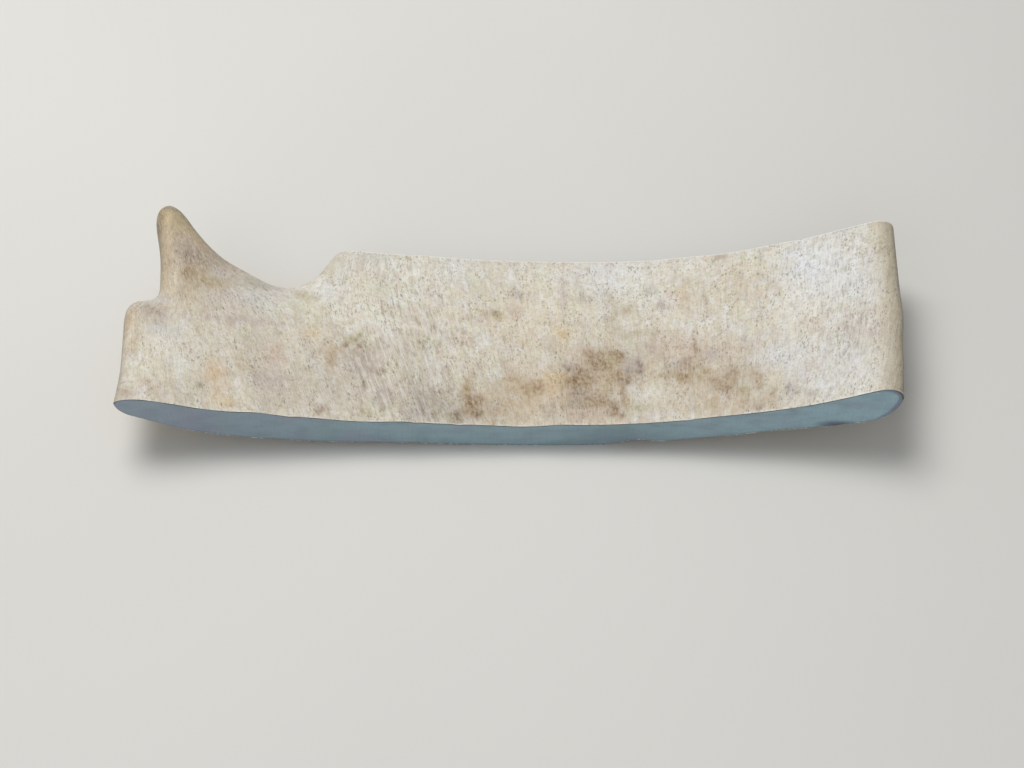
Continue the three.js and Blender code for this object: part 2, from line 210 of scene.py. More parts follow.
def face_heights(x, y):
    """Heights of the upper face, the lower face and the rim in plan, before the rim is rounded."""
    share = y / CUT_SPACING
    dip = DIP_DEPTH * np.exp(-((x - DIP_AT[0]) ** 2 + (y - DIP_AT[1]) ** 2) / DIP_RADIUS ** 2)
    top = lerp(root_top(x), crown_top(x), share) + relief_at(RIDGES, x, y) - dip
    bottom = lerp(root_bottom(x), crown_bottom(x), share) + relief_at(GROOVES, x, y)
    along = np.maximum(y - CURL_FROM, 0) / CURL_LENGTH
    curl = CURL_RISE * along ** CURL_POWER * (1 - smoothstep(x, CURL_FULL_X, CURL_NONE_X))
    thinning = (top - bottom) * TINE_THINNING * (curl / CURL_RISE)
    top = top + curl - thinning / 2
    bottom = bottom + curl + thinning / 2
    near_right = smoothstep(x, RIGHT_RIM_FROM_X, RIGHT_RIM_FULL_X) * (1 - share)
    near_left = 1 - smoothstep(x, CORNER_FULL_X, CORNER_NONE_X)
    near_root = np.exp(-((y / CORNER_REACH) ** 2))
    rim_share = RIM_HEIGHT + RIGHT_RIM_RISE * near_right + CORNER_RISE * near_left * near_root
    return top, bottom, lerp(bottom, top, rim_share)


def noise_at(*axes):
    """Smooth noise between about -1 and 1, with one cell per unit of each axis."""
    return np.array([noise.noise(point) for point in np.column_stack(axes).tolist()])


def low_relief(size, across, along, seed):
    """Smooth relief of a given height, reach across and reach along."""
    height, reach_across, reach_along = size
    return height * noise_at(across / reach_across, along / reach_along, across * 0 + seed)


def upper_detail(x, y, across):
    """Low undulation and fine striations of the upper face."""
    swell = low_relief(UPPER_SWELL, x, y, 0)
    return swell + low_relief(UPPER_BUNDLES, across, y, 7) + low_relief(UPPER_STRIATIONS, across, y, 13)


def lower_detail(x, y, across, height):
    """The lower face is rougher, because it carried the vessels, but smooth where the antler rests."""
    swell = low_relief(LOWER_SWELL, x, y, 21)
    vessels = np.abs(low_relief(LOWER_VESSELS, across, y, 27))
    striations = low_relief(LOWER_STRIATIONS, across, y, 33)
    return (swell + vessels + striations) * smoothstep(height, *RESTING_HEIGHTS)


def arris_wear(x, y):
    """How far the worn arrises lie below the upper face and above the lower one, near the saw cuts."""
    gap = distance_to_cut(np.column_stack([x, y]))
    drop = ARRIS_DROP * (1 - smoothstep(gap, 0, ARRIS_WIDTH * 1.2))
    upper = drop.copy()
    for cut_y, at, half, depth in NICKS:
        reach = np.clip(1 - np.abs(y - cut_y) / NICK_REACH, 0, 1)
        upper += depth * reach * np.exp(-((x - at) / half) ** 2)
    torn = np.maximum(noise_at(x / TEAR_LENGTH, x * 0 + 41, y / 30), 0)
    lower = drop + TEAR_DEPTH * torn * np.clip(1 - gap / TEAR_REACH, 0, 1)
    return upper, lower


# ---- Outline and plan -----------------------------------------------------------------------------------


def curve_through(points, steps=24):
    """A Catmull-Rom curve through given points."""
    p = np.array(points, float)
    padded = np.vstack([p[0], p, p[-1]])
    t = np.linspace(0, 1, steps, endpoint=False)[:, None]
    spans = []
    for p0, p1, p2, p3 in zip(padded, padded[1:], padded[2:], padded[3:]):
        leave, arrive = (p2 - p0) / 2, (p3 - p1) / 2
        cubic = 2 * p1 - 2 * p2 + leave + arrive
        square = -3 * p1 + 3 * p2 - 2 * leave - arrive
        spans.append(cubic * t ** 3 + square * t ** 2 + leave * t + p1)
    return np.vstack(spans + [p[-1:]])


def resampled(line, step):
    """The same line with its points evenly spaced, about step apart."""
    lengths = np.concatenate([[0], np.cumsum(np.hypot(*np.diff(line, axis=0).T))])
    at = np.linspace(0, lengths[-1], max(round(lengths[-1] / step), 1) + 1)
    return np.column_stack([np.interp(at, lengths, axis) for axis in line.T])


def between_levels(line, start_y, end_y):
    """The stretch of a line from its first crossing of start_y to its last crossing of end_y."""
    def crossings(level):
        i = np.nonzero(np.diff(np.sign(line[:, 1] - level)))[0]
        t = (level - line[i, 1]) / (line[i + 1, 1] - line[i, 1])
        x = line[i, 0] + t * (line[i + 1, 0] - line[i, 0])
        return i, np.column_stack([x, np.full(len(x), float(level))])

    starts, start_points = crossings(start_y)
    ends, end_points = crossings(end_y)
    return np.vstack([start_points[:1], line[starts[0] + 1:ends[-1] + 1], end_points[-1:]])


def distance_to(points, line):
    """Distance from each point to an open line of points."""
    edges = np.diff(line, axis=0)
    squares = (edges ** 2).sum(1)
    nearest = []
    for block in np.array_split(points, len(points) // 1500 + 1):
        offset = block[:, None] - line[:-1]
        t = np.clip((offset * edges).sum(2) / squares, 0, 1)
        gap = offset - t[..., None] * edges
        nearest.append(np.sqrt((gap ** 2).sum(2).min(1)))
    return np.concatenate(nearest)


def is_inside(points, polygon):
    inside = np.zeros(len(points), bool)
    for a, b in zip(polygon, np.roll(polygon, -1, axis=0)):
        if a[1] != b[1]:
            crosses = (a[1] > points[:, 1]) != (b[1] > points[:, 1])
            edge_x = a[0] + (points[:, 1] - a[1]) / (b[1] - a[1]) * (b[0] - a[0])
            inside ^= crosses & (points[:, 0] < edge_x)
    return inside


def row_depths(count, width):
    """Depths of rows that lie close together at the edge and wider apart inside."""
    return [width * (1 - math.cos(i / count * math.pi / 2)) for i in range(1, count + 1)]


def inward_rows(line, count, width):
    """Copies of a clockwise line, each further inward: (points, depth, least gap its points need)."""
    along = np.gradient(line, axis=0)
    inward = np.column_stack([along[:, 1], -along[:, 0]]) / np.hypot(*along.T)[:, None]
    depths = row_depths(count, width)
    steps = zip([0] + depths, depths)
    return [(line + inward * depth, depth, ROW_CROWDING * (depth - before)) for before, depth in steps]


def thinned(rows):
    """Joins rows of points, each with its least gap, and leaves out the points that crowd one before them."""
    kept, cells = [], {}
    for points, gap in rows:
        for x, y in points.tolist():
            column, row = math.floor(x), math.floor(y)
            around = (cells.get((column + i, row + j), ()) for i in (-1, 0, 1) for j in (-1, 0, 1))
            if all((x - u) ** 2 + (y - v) ** 2 > gap * gap for cell in around for u, v in cell):
                kept.append((x, y))
                cells.setdefault((column, row), []).append((x, y))
    return np.array(kept)


def lattice(low, high, step):
    """A triangular lattice over a rectangle, with a slight jitter."""
    xs = np.arange(low[0], high[0], step)
    ys = np.arange(low[1], high[1], step * math.sqrt(3) / 2)
    x, y = (grid.ravel() for grid in np.meshgrid(xs, ys))
    x = x + np.repeat(np.arange(len(ys)) % 2, len(xs)) * step / 2
    return np.column_stack([x, y + 0.03 * np.sin(2.3 * y - x)])


def triangles_within(points, loop):
    """Anticlockwise triangles of points in the plane, inside a closed loop of their indices."""
    edges = list(zip(loop, loop[1:] + loop[:1]))
    corners = [Vector(point) for point in points.tolist()]
    vertices, _, faces, *_ = delaunay_2d_cdt(corners, edges, [], 0, MERGE_DISTANCE, False)
    if len(vertices) != len(points):
        raise RuntimeError("two points of the plan coincide")
    faces = np.array(faces)
    return faces[is_inside(points[faces].mean(1), points[loop])]


def cut_line(cut_y, from_x, to_x):
    """Points between the two ends of a saw cut, close together where the rim rounds over."""
    ends = np.array(row_depths(RIM_ROWS, RIM_WIDTH))[:-1]
    middle = np.linspace(from_x + RIM_WIDTH, to_x - RIM_WIDTH, round((to_x - from_x) / UPPER_STEP))
    xs = np.concatenate([from_x + ends, middle, (to_x - ends)[::-1]])
    return np.column_stack([xs, np.full(len(xs), float(cut_y))])


def distance_to_cut(points):
    """Distance to the nearer saw cut, as far as the cut reaches."""
    to_crown = np.where(points[:, 0] > CROWN_CUT_START, np.abs(CUT_SPACING - points[:, 1]), CUT_SPACING)
    return np.minimum(np.abs(points[:, 1]), to_crown)


left_natural = curve_through(LEFT_OF_TINE + TINE_TIP + RIGHT_OF_TINE)
right_natural = curve_through(RIGHT_END)
left_edge = resampled(between_levels(left_natural, 0, CUT_SPACING), EDGE_STEP)
right_edge = resampled(between_levels(right_natural, CUT_SPACING, 0), EDGE_STEP)
crown_line = cut_line(CUT_SPACING, left_edge[-1, 0], right_edge[0, 0])
root_line = cut_line(0, left_edge[0, 0], right_edge[-1, 0])[::-1]
boundary = np.vstack([left_edge, crown_line, right_edge, root_line])  # clockwise, seen from above


def distance_to_edge(points):
    """Distance to the natural outline, which runs on past the saw cuts."""
    return np.minimum(distance_to(points, left_natural), distance_to(points, right_natural))


def plan_inside(step):
    """Points inside the strip: rows along the natural edges and the saw cuts, and a lattice between them."""
    rows = []
    for edge in (left_edge, right_edge):
        for points, depth, gap in inward_rows(edge, RIM_ROWS, RIM_WIDTH):
            clear = distance_to_edge(points) > ROW_CLEARANCE * depth
            clear &= distance_to_cut(points) > CUT_CLEARANCE
            rows.append((points[clear], gap))
    for line, inward in ((root_line, ARRIS_WIDTH), (crown_line, -ARRIS_WIDTH)):
        rows.append((line + [0, inward], 0.5 * ARRIS_WIDTH))
    ruled = thinned(rows)
    fill = lattice(boundary.min(0), boundary.max(0), step)
    clear = distance_to_edge(fill) > RIM_WIDTH + 0.5 * step
    clear &= distance_to_cut(fill) > ARRIS_WIDTH + 0.5 * step
    inside = np.vstack([ruled, fill[clear]])
    return inside[is_inside(inside, boundary)]


# ---- Fibres ---------------------------------------------------------------------------------------------


def fibres_across(points):
    """Place across the fibres, constant along each of them. They part round the bay and follow the edges."""
    across = fibre_root(*points.T)
    parting = fibre_root(*np.array(BAY_FOOT, float)[:, None])[0]
    for line, edge_fibre in ((RIGHT_OF_TINE, parting), (LEFT_OF_TINE, LEFT_OF_TINE[1][0])):
        pull = np.exp(-distance_to(points, curve_through(line, 6)) / FIBRE_WRAP_REACH)
        across = across + pull * np.clip(edge_fibre - across, -FIBRE_WRAP_LIMIT, FIBRE_WRAP_LIMIT)
    return across


# ---- Weathering -----------------------------------------------------------------------------------------


def colour(code):
    """Linear RGBA of an sRGB code such as 'c8beac'."""
    parts = [int(code[i:i + 2], 16) / 255 for i in (0, 2, 4)]
    return [p / 12.92 if p <= 0.04045 else ((p + 0.055) / 1.055) ** 2.4 for p in parts] + [1.0]


CREAM, IVORY, MOSS, BONE_WHITE, CHALK = "d7cfbe", "ded4bf", "d2d0b9", "e4e2d9", "dfe3e8"
GREY, COOL, SLATE = "c2b9aa", "c9c9c8", "a39a8f"
LILAC, MAUVE, ROSE, PINK = "b4a7a1", "928180", "cbbcaf", "c5b0a0"
TAN, PEACH, STRAW, OCHRE, OLIVE, FERN = "bca88b", "ccb495", "d0bb92", "a99069", "ad9e7b", "a0986f"
BROWN, RUST, RUSSET, UMBER = "967859", "7e5f40", "8a6a53", "6f5f4e"

# Clouds of tint all over the face: tint, reach across the fibres, reach along them, share.
CLOUDS = [
    (IVORY, 12, 18, 0.6), (MOSS, 7, 13, 0.8), (ROSE, 5, 7, 0.6), (CHALK, 6, 10, 0.35), (GREY, 4, 6, 0.6),
    (ROSE, 2.2, 3, 0.5), (MOSS, 2.4, 4.5, 0.5), (CHALK, 1.6, 5, 0.4),
]

# Stains on the upper face, with some patches of painted shade and highlight, noted where they stand: X, Y,
# reach along X, reach along Y, tint, strength.
STAINS_AND_PAINTED_LIGHT = [
    # broad washes
    (16, 12, 24, 12, TAN, 0.6), (30, 21, 13, 14, TAN, 0.5), (66, 20, 20, 13, TAN, 0.5),
    (70, 4, 22, 5, TAN, 0.3), (-70, 13, 28, 16, GREY, 0.6), (-47, 23, 14, 14, GREY, 0.7),
    (-28, 8, 14, 14, SLATE, 0.35), (-95, 44, 22, 14, GREY, 0.4), (-42, 67, 26, 10, BONE_WHITE, 0.35),
    (34, 61, 16, 9, BONE_WHITE, 0.3), (73, 69, 20, 9, BONE_WHITE, 0.35), (92, 14, 18, 14, COOL, 0.35),
    (2, 36, 5, 5, TAN, 0.3), (50, 20, 6, 12, TAN, 0.3), (-6, 6, 6, 5, TAN, 0.4),
    (106, 24, 8, 5, CHALK, 0.35), (112, 18, 6, 10, COOL, 0.35), (131, 68, 3, 9, IVORY, 0.35),
    (118, 76, 9, 4.5, GREY, 0.45), (122, 38, 5, 14, GREY, 0.25), (66, 38, 8, 7, BONE_WHITE, 0.35),
    (82, 41, 7, 6, BONE_WHITE, 0.25), (34, 61, 6, 5, CHALK, 0.25), (18, 65, 6, 5, BONE_WHITE, 0.3),
    (-22, 68, 6, 6, BONE_WHITE, 0.2), (-30, 60, 6, 5, BONE_WHITE, 0.25), (50, 10, 9, 5, GREY, 0.4),
    (26, 6, 7, 4, SLATE, 0.3), (38, 19, 12, 8, TAN, 0.2), (50, 31, 5, 4, TAN, 0.3),
    (2, 37, 6, 4, TAN, 0.25), (10, 27, 7, 7, TAN, 0.2), (-6, 6, 5, 4, SLATE, 0.35),
    (-14, 6, 5, 4, GREY, 0.3), (-72, 55, 8, 4, GREY, 0.35), (-94, 60, 6, 5, GREY, 0.3),
    (-121, 34, 8, 8, GREY, 0.5), (-118, 78, 6, 5, SLATE, 0.2), (-38, 42, 5, 4, BONE_WHITE, 0.35),
    (-42, 22, 7, 6, IVORY, 0.25), (-102, 24, 6, 5, BONE_WHITE, 0.35), (114, 52, 12, 14, GREY, 0.2),
    (90, 30, 6, 6, CHALK, 0.2), (66, 66, 6, 4, BONE_WHITE, 0.25),
    # the right end and the crown side, bleached
    (103, 61, 11, 16, CHALK, 0.8), (117, 62, 8, 15, CHALK, 0.3), (115, 46, 9, 10, CHALK, 0.5),
    (106, 9, 15, 9, CHALK, 0.35), (90, 21, 9, 7, CHALK, 0.45), (99, 42, 9, 9, BONE_WHITE, 0.5),
    (36, 69, 13, 7, CHALK, 0.6), (46, 66, 7, 8, BONE_WHITE, 0.5), (8, 69, 12, 7, BONE_WHITE, 0.4),
    (-34, 70, 5, 9, BONE_WHITE, 0.2), (-19, 71, 6, 7, CHALK, 0.5), (-50, 73, 9, 4, COOL, 0.5),
    (45, 55, 12, 12, BONE_WHITE, 0.35), (8, 48, 16, 16, IVORY, 0.5), (113, 27, 9, 8, LILAC, 0.3),
    (97, 35, 7, 5, PINK, 0.1), (97, 16, 3.6, 2.6, PINK, 0.25), (90, 8, 1.8, 3, MAUVE, 0.45),
    (96, 5, 1.6, 1.6, MAUVE, 0.5), (79, 2.5, 2.2, 2, MAUVE, 0.5), (120, 3, 3, 5, LILAC, 0.5),
    (84, 30, 1.6, 2, OLIVE, 0.1), (78, 32, 1.6, 2.4, MAUVE, 0.25),
    # the crown side, lightly marked
    (83, 56, 7, 12, TAN, 0.15), (75, 60, 9, 9, TAN, 0.15), (74, 73.5, 2.4, 2, RUSSET, 0.45),
    (60, 56, 4.2, 5, PEACH, 0.65), (52, 52, 1.5, 3, LILAC, 0.7), (48, 60, 2.4, 3.2, MAUVE, 0.35),
    (66.5, 54, 1.2, 3.6, SLATE, 0.3), (34, 56, 3, 3.6, OLIVE, 0.4), (35, 46, 3, 7, OLIVE, 0.4),
    (40, 51, 2.4, 2.8, OLIVE, 0.6), (24, 62, 1.6, 5, MAUVE, 0.15), (25, 57, 1.8, 1.8, SLATE, 0.5),
    (2, 58, 2, 2, SLATE, 0.6), (18, 58, 1.3, 8, LILAC, 0.5), (17, 40, 2.6, 3.6, STRAW, 0.7),
    (14, 34, 4, 3, PINK, 0.4), (24, 33, 4, 2.6, PINK, 0.4), (-8.5, 48.5, 2.4, 2, OCHRE, 0.5),
    (-6, 49.6, 1.1, 1.3, UMBER, 0.8), (-4, 48, 2.2, 1.8, OLIVE, 0.8), (1, 50, 2, 4, PINK, 0.7),
    (-36, 61, 1.4, 2, FERN, 0.3), (-46, 57, 7, 3.4, MOSS, 0.7), (-53, 70, 1.2, 3.6, UMBER, 0.2),
    (-60, 68, 3, 9, GREY, 0.2), (-63, 66, 1.6, 8, SLATE, 0.15),
    # the tine; the slate at (-105, 62) is painted shade on its right flank, and the straw at (-119.6, 75.5) a
    # painted highlight near its tip
    (-112, 66, 14, 21, TAN, 0.95), (-114, 78, 12, 8, OLIVE, 0.8), (-105, 62, 10, 5, SLATE, 0.8),
    (-123, 72, 2.4, 9, UMBER, 0.55), (-121, 58, 1.8, 14, OLIVE, 0.4), (-119, 66, 2.2, 6, PEACH, 0.4),
    (-112, 60, 7, 10, BROWN, 0.15), (-119.6, 75.5, 1.6, 3, STRAW, 0.7), (-116, 75, 1.8, 4, OLIVE, 0.6),
    (-119, 81.8, 3.4, 1.6, SLATE, 0.5), (-120.2, 79.4, 2, 0.7, MAUVE, 0.9),
    (-122, 77.5, 1.6, 3, OCHRE, 0.6), (-112, 62.5, 3.6, 4, MAUVE, 0.6), (-111.6, 62, 1.6, 1.6, UMBER, 0.6),
    (-113, 67, 3, 3, LILAC, 0.5), (-111, 54, 3.6, 3.6, BROWN, 0.55), (-112, 55, 1.2, 3, UMBER, 0.2),
    (-107, 57, 3.4, 2, OCHRE, 0.1), (-101, 53, 4, 1.8, OLIVE, 0.7), (-106, 52, 4, 3, OLIVE, 0.6),
    (-114.6, 52, 1.6, 9, IVORY, 0.7), (-118, 52, 1.4, 8, TAN, 0.5), (-100, 57, 4, 3, LILAC, 0.5),
    (-112, 46, 5, 2.6, TAN, 0.5),
    # the shoulder and the left edge; at the hollow, the mauve (-121, 38.5) and lilac (-117.5, 34) are partly
    # painted shade, and the cool patches (-117, 31), (-112, 30) and the cool line (-121, 44) on the rim
    # partly a painted highlight
    (-121, 38.5, 4.4, 3.2, MAUVE, 0.45), (-117.5, 34, 2.4, 4, LILAC, 0.45), (-121, 44, 6, 1.8, COOL, 0.8),
    (-117, 31, 3, 2.6, COOL, 0.9), (-112, 30, 2.6, 3, COOL, 0.6), (-115, 25, 5, 4.6, BONE_WHITE, 0.6),
    (-108, 17, 5, 5, BONE_WHITE, 0.35), (-127.5, 34, 2.4, 7, TAN, 0.8), (-124.5, 24, 2, 7, TAN, 0.6),
    (-126, 29, 0.7, 6, IVORY, 0.7), (-123, 2, 3, 2.4, RUSSET, 0.6), (-118, 7, 5, 3.4, PINK, 0.6),
    (-127, 8, 2.4, 8, LILAC, 0.4), (-117, 13, 5, 4, MOSS, 0.5), (-110, 5, 8, 4, GREY, 0.5),
    # round the bay; the white lines along its edge at (-74, 56.3) and (-67, 58) are partly the rim's pale
    # colour, partly a painted highlight
    (-86, 50, 10, 5, COOL, 0.7), (-88, 55, 6, 2.4, SLATE, 0.55), (-96, 46, 10, 5, LILAC, 0.35),
    (-90, 38.5, 14, 1.8, LILAC, 0.6), (-72, 51.5, 3.4, 1.3, OLIVE, 0.8), (-68, 51.5, 1.4, 1.2, SLATE, 0.5),
    (-74, 56.3, 4, 1.3, BONE_WHITE, 0.8), (-67, 58, 2, 4, BONE_WHITE, 0.8), (-64, 54.5, 4, 4.6, CHALK, 0.6),
    (-62, 50, 3, 4, BONE_WHITE, 0.6),
    # the left half
    (-97, 15, 3.6, 4.2, PEACH, 0.95), (-98.5, 20, 3, 2.6, STRAW, 0.4), (-95.5, 8, 2.4, 3.6, PEACH, 0.7),
    (-101, 9, 1.2, 1.4, UMBER, 0.5), (-92, 3.6, 4, 2, STRAW, 0.7), (-90.6, 2.4, 1.8, 0.8, UMBER, 0.3),
    (-79, 25, 3.2, 4.6, PINK, 0.95), (-85, 27, 4, 3, PINK, 0.4), (-89, 19, 3, 4, OLIVE, 0.6),
    (-80, 14, 6, 5, LILAC, 0.6), (-91, 29, 14, 8, GREY, 0.5), (-67, 36, 4, 3, STRAW, 0.5),
    (-60.5, 28.5, 4.4, 3.2, TAN, 0.7), (-60.4, 24, 1.5, 3, OCHRE, 0.8), (-54, 34, 3, 2, FERN, 0.7),
    (-51.6, 36, 1.3, 1.8, FERN, 1), (-56, 31.4, 1.1, 1.3, RUST, 0.7), (-51, 31.6, 1.3, 1.5, RUSSET, 0.8),
    (-53.4, 29.6, 0.9, 0.8, UMBER, 0.2), (-50, 27, 4.6, 4, UMBER, 0.2), (-44, 31, 2, 2.4, UMBER, 0.2),
    (-44.5, 34, 1.2, 2.4, FERN, 0.2), (-49, 22, 5, 5, MAUVE, 0.35), (-43.8, 20.4, 1.6, 1.5, UMBER, 0.7),
    (-48.6, 15, 0.9, 3.2, UMBER, 0.5), (-32, 33, 2.4, 4, OLIVE, 0.45), (-42.5, 11, 3.2, 4, LILAC, 0.8),
    (-56, 12, 5, 4, GREY, 0.6), (-61.6, 3.6, 2.4, 2.2, RUSSET, 0.55), (-48, 4, 1.8, 3, FERN, 0.5),
    (-41.6, 6, 1.7, 2, UMBER, 0.45), (-76, 6, 8, 4, GREY, 0.6), (-66, 14, 6, 8, GREY, 0.5),
    (-70, 48, 9, 5, MOSS, 0.5), (-52, 46, 9, 9, BONE_WHITE, 0.3), (-30, 29, 3, 8, GREY, 0.4),
    # the dark foot left of the middle, and its streak
    (-26, 7, 11, 9, SLATE, 0.5), (-30.5, 12, 1.6, 1.8, UMBER, 0.3), (-25, 12.6, 2.4, 1.8, RUSSET, 0.2),
    (-28, 5, 3, 2.4, SLATE, 0.2), (-25.6, 3, 1.4, 2, UMBER, 0.5), (-18, 3, 2.2, 2.6, UMBER, 0.8),
    (-37.6, 7, 0.6, 6, IVORY, 0.4), (-34.6, 14, 0.6, 7, IVORY, 0.3), (-14.8, 16, 1.8, 4.4, OCHRE, 0.85),
    (-13.6, 9, 2.6, 5, BROWN, 0.9), (-13.4, 7.4, 1.7, 2.4, RUST, 0.7), (-11.4, 4.4, 2, 2.2, RUST, 0.8),
    (-10.6, 10.6, 1.7, 2.2, BROWN, 0.8), (-25, 17.5, 2, 2, BONE_WHITE, 0.5),
    (-11, 26, 0.6, 3.4, UMBER, 0.25), (-18, 36, 3, 2.4, PINK, 0.4),
    # the middle: straw and beige round the dark stains
    (-4, 10, 6, 8, TAN, 0.4), (1, 20, 3, 3.4, TAN, 0.8), (-5, 18, 3, 2.4, TAN, 0.2),
    (6, 16, 6, 4, TAN, 0.8), (9, 16.4, 2.4, 2.4, BROWN, 0.85), (4.4, 15, 2, 1.8, OCHRE, 0.6),
    (8, 12.6, 4, 2, TAN, 0.6), (15.4, 19, 4.2, 4, STRAW, 0.95), (13, 15.4, 3, 2, PEACH, 0.6),
    (5, 7, 7, 4, TAN, 0.4),
    # the dark stains of the middle
    (21.4, 19.4, 4.4, 4, BROWN, 0.8), (20.6, 18.6, 1.7, 2.5, RUST, 0.65), (25, 18, 2.8, 2.8, RUSSET, 0.45),
    (20, 26, 4, 2.4, LILAC, 0.4), (19, 24, 1.3, 1.1, UMBER, 0.7), (21.7, 25.3, 0.8, 1.2, MAUVE, 0.9),
    (17.6, 25.6, 0.7, 1, MAUVE, 0.9), (22.4, 22.8, 1.4, 1.5, RUSSET, 0.9),
    (28.6, 27, 4.4, 5.6, BROWN, 0.72), (27, 30.6, 1.7, 1.5, RUSSET, 0.4), (30.6, 26.6, 1.6, 3, RUST, 0.45),
    (34, 26.6, 3, 3.6, OLIVE, 0.8), (34.5, 31, 2.6, 1.1, BROWN, 0.7), (37, 29, 1.5, 2.4, BROWN, 1),
    (35.6, 20, 3.8, 2.8, BROWN, 0.8), (38.4, 18.2, 1.4, 1.6, UMBER, 0.9), (40, 24.4, 3, 4, LILAC, 0.8),
    (39.3, 23, 1.4, 1.6, SLATE, 0.9), (42.8, 24.6, 1.2, 4.6, MAUVE, 0.95), (42, 33, 4, 4, GREY, 0.5),
    (47.4, 32, 2.4, 4, LILAC, 0.6), (44, 39.4, 6, 2.2, OLIVE, 0.4), (48, 38, 1.2, 3, BROWN, 0.2),
    (21.6, 13.4, 3.4, 2.5, MAUVE, 0.65), (21.4, 14, 1.2, 1, UMBER, 0.6), (27.4, 14, 3.8, 2, LILAC, 0.2),
    (33, 13, 3.2, 3, OLIVE, 0.5), (37, 13, 1.2, 4, BROWN, 0.9), (22, 8.6, 4, 2.8, UMBER, 0.25),
    (28, 9.6, 4.6, 3, BROWN, 0.6), (25, 4, 7, 2.8, PINK, 0.6), (33.3, 6.4, 1.4, 2.6, RUSSET, 0.95),
    (32.2, 4.2, 1.2, 1, RUST, 0.6), (36, 3.6, 1.6, 1, RUSSET, 0.6), (13, 5, 3, 4, SLATE, 0.4),
    (41, 6.4, 4.6, 2.4, FERN, 0.4), (37.6, 8.6, 1.2, 1.2, OCHRE, 0.9), (45, 12.4, 7, 5, BONE_WHITE, 0.6),
    (40.4, 14, 2.2, 3.4, COOL, 0.4), (48, 3, 4, 2.4, CHALK, 0.3),
    # the right half
    (60, 32, 9, 6, PINK, 0.5), (52, 35, 6, 4, ROSE, 0.5), (61.7, 31.4, 0.9, 4.4, BROWN, 0.7),
    (51.4, 19.4, 3, 2.4, OCHRE, 0.45), (56.6, 18.4, 2.5, 2.8, OCHRE, 0.6),
    (57.6, 17.6, 1.6, 1.6, BROWN, 0.8), (56, 24, 3.4, 2.4, LILAC, 0.7), (58.6, 23.6, 1.8, 3.4, BROWN, 0.5),
    (62.6, 18.4, 2.6, 4, OLIVE, 0.7), (64, 20, 1, 1.2, BROWN, 0.6), (68.6, 13, 3.6, 4.4, BROWN, 0.6),
    (66, 15, 1.3, 1.6, RUSSET, 0.15), (73, 17, 2.6, 3.4, BROWN, 0.6), (75.4, 10, 2.2, 3, OLIVE, 0.8),
    (79, 17, 2.4, 3, BROWN, 0.35), (80.6, 13, 1.8, 4, BROWN, 0.5), (71, 12, 1.4, 2, RUST, 0.4),
    (85, 13, 4, 4, STRAW, 0.4), (67, 27, 5, 3.4, LILAC, 0.6), (74, 31, 4, 5, PINK, 0.2),
    (65.4, 5, 2, 2.8, OCHRE, 0.4), (84, 6, 2, 3, OCHRE, 0.4), (59.4, 4.2, 1.2, 1.4, UMBER, 0.4),
    (76, 5, 7, 3.4, TAN, 0.5),
]
RAGGEDNESS, PATCHINESS = 0.42, 0.35  # of the stains' borders, and within them
COARSE_WANDER, FINE_WANDER, FINE_SHARE = (4.5, 5), (1.7, 2.1), 0.6  # reaches of the borders' wander
PATCH_REACH = (1.9, 2.6)  # of the lighter and darker patches within a stain
CLOUD_SEED, WANDER_SEEDS, PATCH_SEED = 51, (71, 74), 77


def upper_tone(x, y, across):
    """Colour of the upper face, apart from its finest grain: clouds of tint, with the stains and patches of
    painted shade and highlight over them.
    """
    def cloud(along_x, reach, seed):
        return low_relief((1, *reach), along_x, y, seed)

    def tinted(under, tint, share):
        return lerp(under, np.array(colour(tint)[:3]), np.clip(share, 0, 1)[:, None])

    tone = np.tile(colour(CREAM)[:3], (len(x), 1))
    for number, (tint, reach_across, reach_along, share) in enumerate(CLOUDS):
        here = cloud(across, (reach_across, reach_along), CLOUD_SEED + number)
        tone = tinted(tone, tint, share * smoothstep(here, 0, 0.5))
    wander_x, wander_y = (
        RAGGEDNESS * (cloud(x, COARSE_WANDER, seed) + FINE_SHARE * cloud(x, FINE_WANDER, seed))
        for seed in WANDER_SEEDS
    )
    patchy = 1 + PATCHINESS * cloud(across, PATCH_REACH, PATCH_SEED)
    for at_x, at_y, reach_x, reach_y, tint, strength in STAINS_AND_PAINTED_LIGHT:
        away = np.hypot((x - at_x) / reach_x + wander_x, (y - at_y) / reach_y + wander_y)
        tone = tinted(tone, tint, strength * np.exp(-away * away) * patchy)
    return tone


# ---- The antler's mesh ----------------------------------------------------------------------------------

GROWN_FACE, SAWN_FACE = 0, 1  # its material slots
TRIPLE_VALUES = ("fibre", "tone")


class AntlerSurface:
    """Vertices, triangles and surface values of the antler, gathered sheet by sheet."""

    def __init__(self):
        self.vertices, self.triangles, self.finishes = [], [], []
        names = ("fibre", "tone", "edge", "underside", "groove", "cut_depth", "top_gap")
        self.values = {name: [] for name in names}
        self.count = 0

    def add_vertices(self, vertices, **values):
        self.vertices.append(vertices)
        for name, kept in self.values.items():
            width = 3 if name in TRIPLE_VALUES else 1
            kept.append(np.reshape(values.get(name, np.zeros(len(vertices) * width)), (-1, width)))
        self.count += len(vertices)
        return np.arange(self.count - len(vertices), self.count)

    def add_triangles(self, triangles, finish):
        self.triangles.append(triangles)
        self.finishes.append(np.full(len(triangles), finish))


